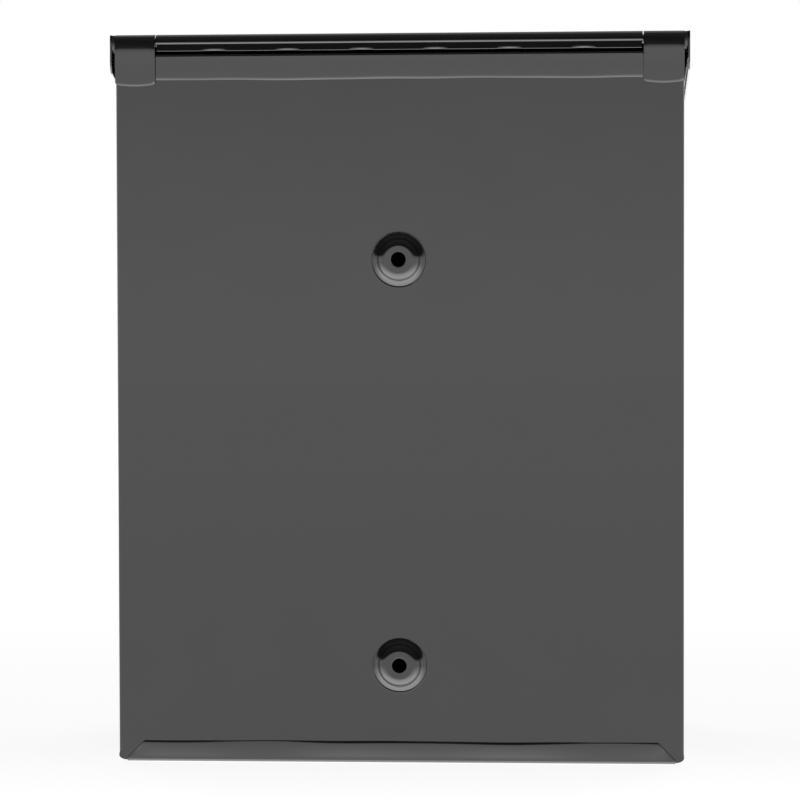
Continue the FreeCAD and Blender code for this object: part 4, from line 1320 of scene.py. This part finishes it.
# ---------------------------------------------------------------- fittings
@dataclass
class Fittings:
    """Door hinge leaves, rivets and the cam lock."""

    work: Piecework
    axis_x: float = -121.4
    lift: float = 2.5
    width: float = 16.0
    thick: float = 1.0
    foot: float = 38.0
    pitch: float = 36.8
    play: float = 0.2
    barrel: float = 2.2
    leaf_sheet: float = 0.9
    leaf_edge: float = 0.2
    leaf_corner: float = 2.0
    leaf_clear: float = 0.35
    leaf_turn: float = 300.0
    leaf_steps: int = 20
    knuckles: int = 5
    rivet_share: float = 0.62
    rivet_head: float = 3.1
    rivet_dome: float = 1.1
    rivet_tail: float = 2.5
    baffle_rivets: tuple[float, ...] = (-105.0, -35.0, 35.0, 105.0)
    baffle_rivet_z: float = 300.0
    lock: tuple[float, float] = (96.8, 130.0)
    lock_head: float = 11.5
    plug: float = 6.0
    keyway: Point = (0.7, 3.6)
    keyway_round: float = 0.5
    keyway_depth: float = 4.6
    plug_square: float = 4.9
    plug_tail: float = 1.8

    def build(self) -> None:
        """Build the leaves, the rivets and the lock."""
        self.roll_leaf("door_hinge_leaf_frame", Body.BOX, -1, (0, 2, 4))
        self.roll_leaf("door_hinge_leaf_door", Body.DOOR, 1, (1, 3))
        press = self.work.press
        reach = self.width * self.rivet_share
        rows = [self.foot + self.pitch * (i + 0.5) for i in range(self.knuckles)]
        leaf_face = press.front - self.thick
        grip = press.sheet + self.thick
        self.set_rivets("door_hinge_rivets_frame", Body.BOX, leaf_face, grip,
                        [(self.axis_x - reach, z) for z in rows])
        self.set_rivets("door_hinge_rivets_door", Body.DOOR, leaf_face, grip,
                        [(self.axis_x + reach, z) for z in rows])
        self.set_rivets("baffle_rivets", Body.BOX, press.front, 2 * press.sheet,
                        [(x, self.baffle_rivet_z) for x in self.baffle_rivets])
        self.turn_lock_body()
        self.cut_plug()

    def roll_leaf(self, node: str, body: Body, sign: int, knuckles: tuple[int, ...]) -> None:
        """Roll every other knuckle of a leaf round the pin.

        Args:
            node: CAD node that the leaf stands for.
            body: Body that the leaf rides on.
            sign: Side of the axis that the leaf lies on.
            knuckles: Numbers of its knuckles, from the foot.
        """
        press = self.work.press
        face = press.front - self.thick
        axis_y = press.front - self.lift
        far = self.axis_x + sign * self.width
        length = self.knuckles * self.pitch
        tangent_y = axis_y + self.barrel
        bench = Bench(f"{node}_rolled")
        edges = sorted((self.axis_x, far))
        bench.sheet((edges[0], edges[1]), (face, face), (self.foot, self.foot + length))
        clear = self.axis_x + sign * (self.barrel + self.leaf_clear)
        bench.cut("X", clear)
        for i in range(1, self.knuckles):
            bench.cut("Z", self.foot + self.pitch * i + self.play * (1 if i in knuckles else -1))
        for i in set(range(self.knuckles)) - set(knuckles):
            low = self.foot + self.pitch * i - 2 * self.play
            high = low + self.pitch + 4 * self.play
            bench.pick("FACE", lambda p: (
                abs(p.x - self.axis_x) < self.barrel + 0.4 and low < p.z < high))
            bpy.ops.mesh.delete(type="FACE")
        bench.pick_border(lambda p: near(p.x, self.axis_x))
        bench.move(y=tangent_y - face)
        bench.roll((self.axis_x, axis_y, 0), (0, 0, sign), self.leaf_turn, self.leaf_steps)
        bench.corner(self.leaf_corner, lambda p: near(p.x, far))
        bench.weld()
        bench.face_like(lambda p: near(p.y, face) and abs(p.x - self.axis_x) > 3, (0, -1, 0))
        bench.thicken(self.leaf_sheet)
        bench.soften(self.leaf_edge)
        piece = bench.done()
        self.work.fit(piece, body, Slot.ENAMEL, node)

    def set_rivets(self, node: str, body: Body, face: float, grip: float,
                   places: Sequence[Point]) -> None:
        """Shape one domed rivet and set a copy at each place, joined into one piece.

        Args:
            node: CAD node that the rivets stand for.
            body: Body that they ride on.
            face: Level of the sheet under their heads in mm.
            grip: Thickness of what they hold in mm.
            places: x and z of each rivet in mm.
        """
        head, dome = self.rivet_head, self.rivet_dome
        ball = (head ** 2 + dome ** 2) / (2 * dome)
        arc = math.asin(head / ball)
        profile = [(ball * math.sin(arc * t), dome - ball * (1 - math.cos(arc * t)))
                   for t in (1.0, 0.85, 0.68, 0.5, 0.32)]
        profile += [(1.05, dome - 0.06), (0.8, dome - 0.3), (0.75, dome - 0.55)]
        for number, (x, z) in enumerate(places):
            bench = Bench(f"{node}_{number}")
            bench.ring((x, face, z), head, 32)
            bench.rings((x, face, z), "Y", [(r, -level) for r, level in profile])
            bench.pick_border(lambda p: near(p.y, face - profile[-1][1], 0.005))
            bpy.ops.mesh.fill()
            bench.rings((x, face, z), "Y", [
                (head, 0), (1.6, 0.01), (1.6, grip), (self.rivet_tail, grip + 0.01),
                (self.rivet_tail, grip + 0.8), (self.rivet_tail - 0.35, grip + dome),
                (0.8, grip + dome)])
            bench.pick_border(lambda p: near(p.y, face + grip + dome, 0.005))
            bpy.ops.mesh.fill()
            bench.weld(0.001)
            bench.done()
        bpy.ops.object.select_all(action="DESELECT")
        for number in range(len(places)):
            bpy.data.objects[f"{node}_{number}"].select_set(True)
        first = bpy.data.objects[f"{node}_0"]
        bpy.context.view_layer.objects.active = first
        bpy.ops.object.join()
        first.name = f"{node}_set"
        first.data.name = first.name
        self.work.fit(first, body, Slot.RIVETS, node)

    def turn_lock_body(self) -> None:
        """Turn the lock's head and barrel with a bore for the plug."""
        press = self.work.press
        x, z = self.lock
        low, high = (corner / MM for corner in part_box("lock_body"))
        bench = Bench("lock_body_turned")
        bore = self.plug + 0.05
        centre = (x, press.front, z)
        face = low.y - press.front
        depth = high.y - press.front
        bench.ring((x, high.y, z), bore, 64)
        bench.rings((x, press.front, z), "Y", [
            (bore, depth), (8.6, depth), (9, depth - 0.4), (9, 0.01), (self.lock_head, 0),
            (self.lock_head, face + 1.0), (self.lock_head - 0.15, face + 0.5),
            (self.lock_head - 0.5, face + 0.16), (self.lock_head - 1.0, face),
            (8.3, face), (8.0, face + 0.35), (7.4, face + 0.45), (7.1, face + 0.2),
            (bore + 0.35, face + 0.2), (bore, face + 0.5)])
        bench.rings(centre, "Y", [(bore, face + 0.5), (bore, depth)])
        bench.weld(0.001)
        piece = bench.done(38)
        self.work.fit(piece, Body.DOOR, Slot.CHROME, "lock_body")

    def cut_plug(self) -> None:
        """Turn the plug and sink its keyway."""
        press = self.work.press
        x, z = self.lock
        low, high = (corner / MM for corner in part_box("lock_plug"))
        bench = Bench("lock_plug_turned")
        slot, tall = self.keyway
        bench.sheet((x - slot, x + slot), (low.y, low.y), (z - tall, z + tall))
        bench.corner(self.keyway_round, lambda p: True, 3)
        bpy.ops.mesh.select_all(action="SELECT")
        bpy.ops.mesh.delete(type="ONLY_FACE")
        bench.ring((x, low.y, z), self.plug - 0.5, 48)
        bpy.ops.mesh.select_all(action="SELECT")
        bpy.ops.mesh.bridge_edge_loops()
        bench.rings((x, press.front, z), "Y", [
            (self.plug - 0.5, low.y - press.front), (self.plug - 0.12, low.y - press.front + 0.12),
            (self.plug, low.y - press.front + 0.5),
            (self.plug, high.y - press.front - self.plug_tail),
            (self.plug_square, high.y - press.front - self.plug_tail),
            (self.plug_square, high.y - press.front)])
        bench.pick_border(lambda p: near(p.y, high.y))
        bpy.ops.mesh.fill()
        bench.pick_border(lambda p: near(p.y, low.y) and abs(p.x - x) < 0.8)
        bench.pull(y=self.keyway_depth)
        bench.pick_border(lambda p: near(p.y, low.y + self.keyway_depth))
        bpy.ops.mesh.fill()
        bench.weld(0.001)
        piece = bench.done(38)
        self.work.fit(piece, Body.LOCK, Slot.ZINC, "lock_plug")


# ---------------------------------------------------------------- studio
@dataclass
class Studio:
    """Pale glowing floor, soft lights and the camera."""

    distance: float = 1.5
    across: float = -0.088
    height: float = 0.24
    aim: tuple[float, float, float] = (-0.0005, 0.080, 0.1958)
    tilt: float = 0.0025
    lens: float = 126.0
    sky_strength: float = 1.6
    surroundings: tuple[Point, ...] = (
        (0.0, 0.72), (0.05, 0.66), (0.145, 0.5), (0.2, 0.008), (0.5, 0.03), (0.8, 0.06),
        (0.999, 0.08))
    floor_radius: float = 9.0
    floor_drop: float = 0.0002
    glow_reach: Point = (0.4, 3.0)
    beam_reach: Point = (0.35, 0.85)
    object_middle: tuple[float, float, float] = (0.0, 0.0, 0.2)
    table_glow: Point = (0.86, 1.0)
    table_beam: float = 2.2

    def build(self) -> None:
        """Set the stage, the lights and the camera."""
        self.lay_floor()
        self.hang_lights()
        self.place_camera()

    def lay_floor(self) -> None:
        """Lay a wide pale floor that glows as a light table: its glow rises from near the box to far
        off, and it is brighter where seen steeply, painted light that the box's downward faces mirror.
        """
        bpy.ops.object.select_all(action="DESELECT")
        bpy.ops.mesh.primitive_circle_add(vertices=96, radius=self.floor_radius,
                                          fill_type="NGON", location=(0, 0, -self.floor_drop))
        floor = bpy.context.object
        floor.name = "floor"
        material = bpy.data.materials.new("glowing_studio_floor")
        material.use_nodes = True
        paint = material.node_tree.nodes["Principled BSDF"]
        paint.inputs["Base Color"].default_value = srgb("#b4b4b4")
        paint.inputs["Roughness"].default_value = 0.9
        paint.inputs["Specular IOR Level"].default_value = 0.0
        paint.inputs["Emission Color"].default_value = srgb("#ffffff")
        tree = material.node_tree
        # The floor's emission is painted light: a glow that rises with distance from the box, plus a
        # light-table beam that is brightest where the floor is seen steeply.
        coords = add_node(tree, "ShaderNodeTexCoord")
        away = add_node(tree, "ShaderNodeVectorMath", {"operation": "LENGTH"},
                        links={0: coords.outputs["Object"]})
        near_glow, far_glow = self.table_glow
        glow = ramp(tree, away.outputs["Value"], near_glow, far_glow, *self.glow_reach)
        facing = add_node(tree, "ShaderNodeLayerWeight", inputs={"Blend": 0.5})
        beam = ramp(tree, facing.outputs["Facing"], self.table_beam, 0.0, *self.beam_reach)
        total = add_node(tree, "ShaderNodeMath", {"operation": "ADD"}, links={0: glow, 1: beam})
        tree.links.new(total.outputs[0], paint.inputs["Emission Strength"])
        floor.data.materials.append(material)

    def softbox(self, name: str, place: Sequence[float], aim: Sequence[float],
                size: Point, radiance: float) -> None:
        """Hang a soft light that is even over its face.

        Args:
            name: Name of the light.
            place: Its middle, in metres.
            aim: The point that it faces.
            size: Width and height in metres.
            radiance: Brightness of its face.
        """
        lamp = bpy.data.lights.new(name, "AREA")
        lamp.shape = "RECTANGLE"
        lamp.size, lamp.size_y = size
        lamp.energy = radiance * math.pi * size[0] * size[1]
        holder = bpy.data.objects.new(name, lamp)
        bpy.context.collection.objects.link(holder)
        holder.location = place
        direction = Vector(aim) - Vector(place)
        holder.rotation_euler = direction.to_track_quat("-Z", "Y").to_euler()
        holder.visible_camera = False

    def hang_lights(self) -> None:
        """Hang the softboxes and set the surroundings: pale low down, dark above, soft overhead."""
        self.softbox("overhead", (0, -1.05, 1.9), (0, 0, 0.35), (3.0, 1.9), 0.3)
        self.softbox("front_key", (-1.2, -2.4, 1.5), self.object_middle, (1.6, 1.2), 1.2)
        self.softbox("front_fill", (1.7, -2.2, 1.2), self.object_middle, (1.2, 1.2), 1.2)
        world = bpy.data.worlds.new("studio")
        world.use_nodes = True
        tree = world.node_tree
        tree.nodes.clear()
        coords = add_node(tree, "ShaderNodeTexCoord")
        split = add_node(tree, "ShaderNodeSeparateXYZ", links={0: coords.outputs["Generated"]})
        height = add_node(tree, "ShaderNodeValToRGB", links={0: split.outputs["Z"]})
        stops = height.color_ramp
        for place, level in self.surroundings:
            stop = stops.elements.new(place)
            stop.color = (level, level, level, 1.0)
        stops.elements.remove(stops.elements[0])
        stops.elements.remove(stops.elements[-1])
        around = add_node(tree, "ShaderNodeBackground", inputs={"Strength": self.sky_strength},
                          links={"Color": height.outputs["Color"]})
        pale = add_node(tree, "ShaderNodeBackground",
                        inputs={"Color": srgb("#ffffff"), "Strength": 1.0})
        seen = add_node(tree, "ShaderNodeLightPath")
        mix = add_node(tree, "ShaderNodeMixShader", links={
            0: seen.outputs["Is Camera Ray"], 1: around.outputs[0], 2: pale.outputs[0]})
        add_node(tree, "ShaderNodeOutputWorld", links={"Surface": mix.outputs[0]})
        bpy.context.scene.world = world
        bpy.context.scene.view_settings.view_transform = "Standard"

    def place_camera(self) -> None:
        """Stand the camera square to the wall side, a little to one side."""
        lens = bpy.data.cameras.new("camera")
        lens.lens = self.lens
        lens.sensor_width = 36
        camera = bpy.data.objects.new("camera", lens)
        bpy.context.collection.objects.link(camera)
        camera.location = (self.across, self.aim[1] + self.distance, self.height)
        direction = Vector(self.aim) - camera.location
        turn = direction.to_track_quat("-Z", "Y").to_euler()
        turn.rotate_axis("Z", -self.tilt)
        camera.rotation_euler = turn
        bpy.context.scene.camera = camera


def main() -> None:
    """Build the pieces in order."""
    logging.basicConfig(level=logging.INFO, format="%(message)s")
    press, paints = Press(), Paints()
    paints.dress_frame()
    work = Piecework(press, paints)
    RearShell(work).build()
    FloorPan(work).build()
    Lid(work).build()
    Front(work).build()
    Fittings(work).build()
    Studio().build()


if __name__ == "__main__":
    main()
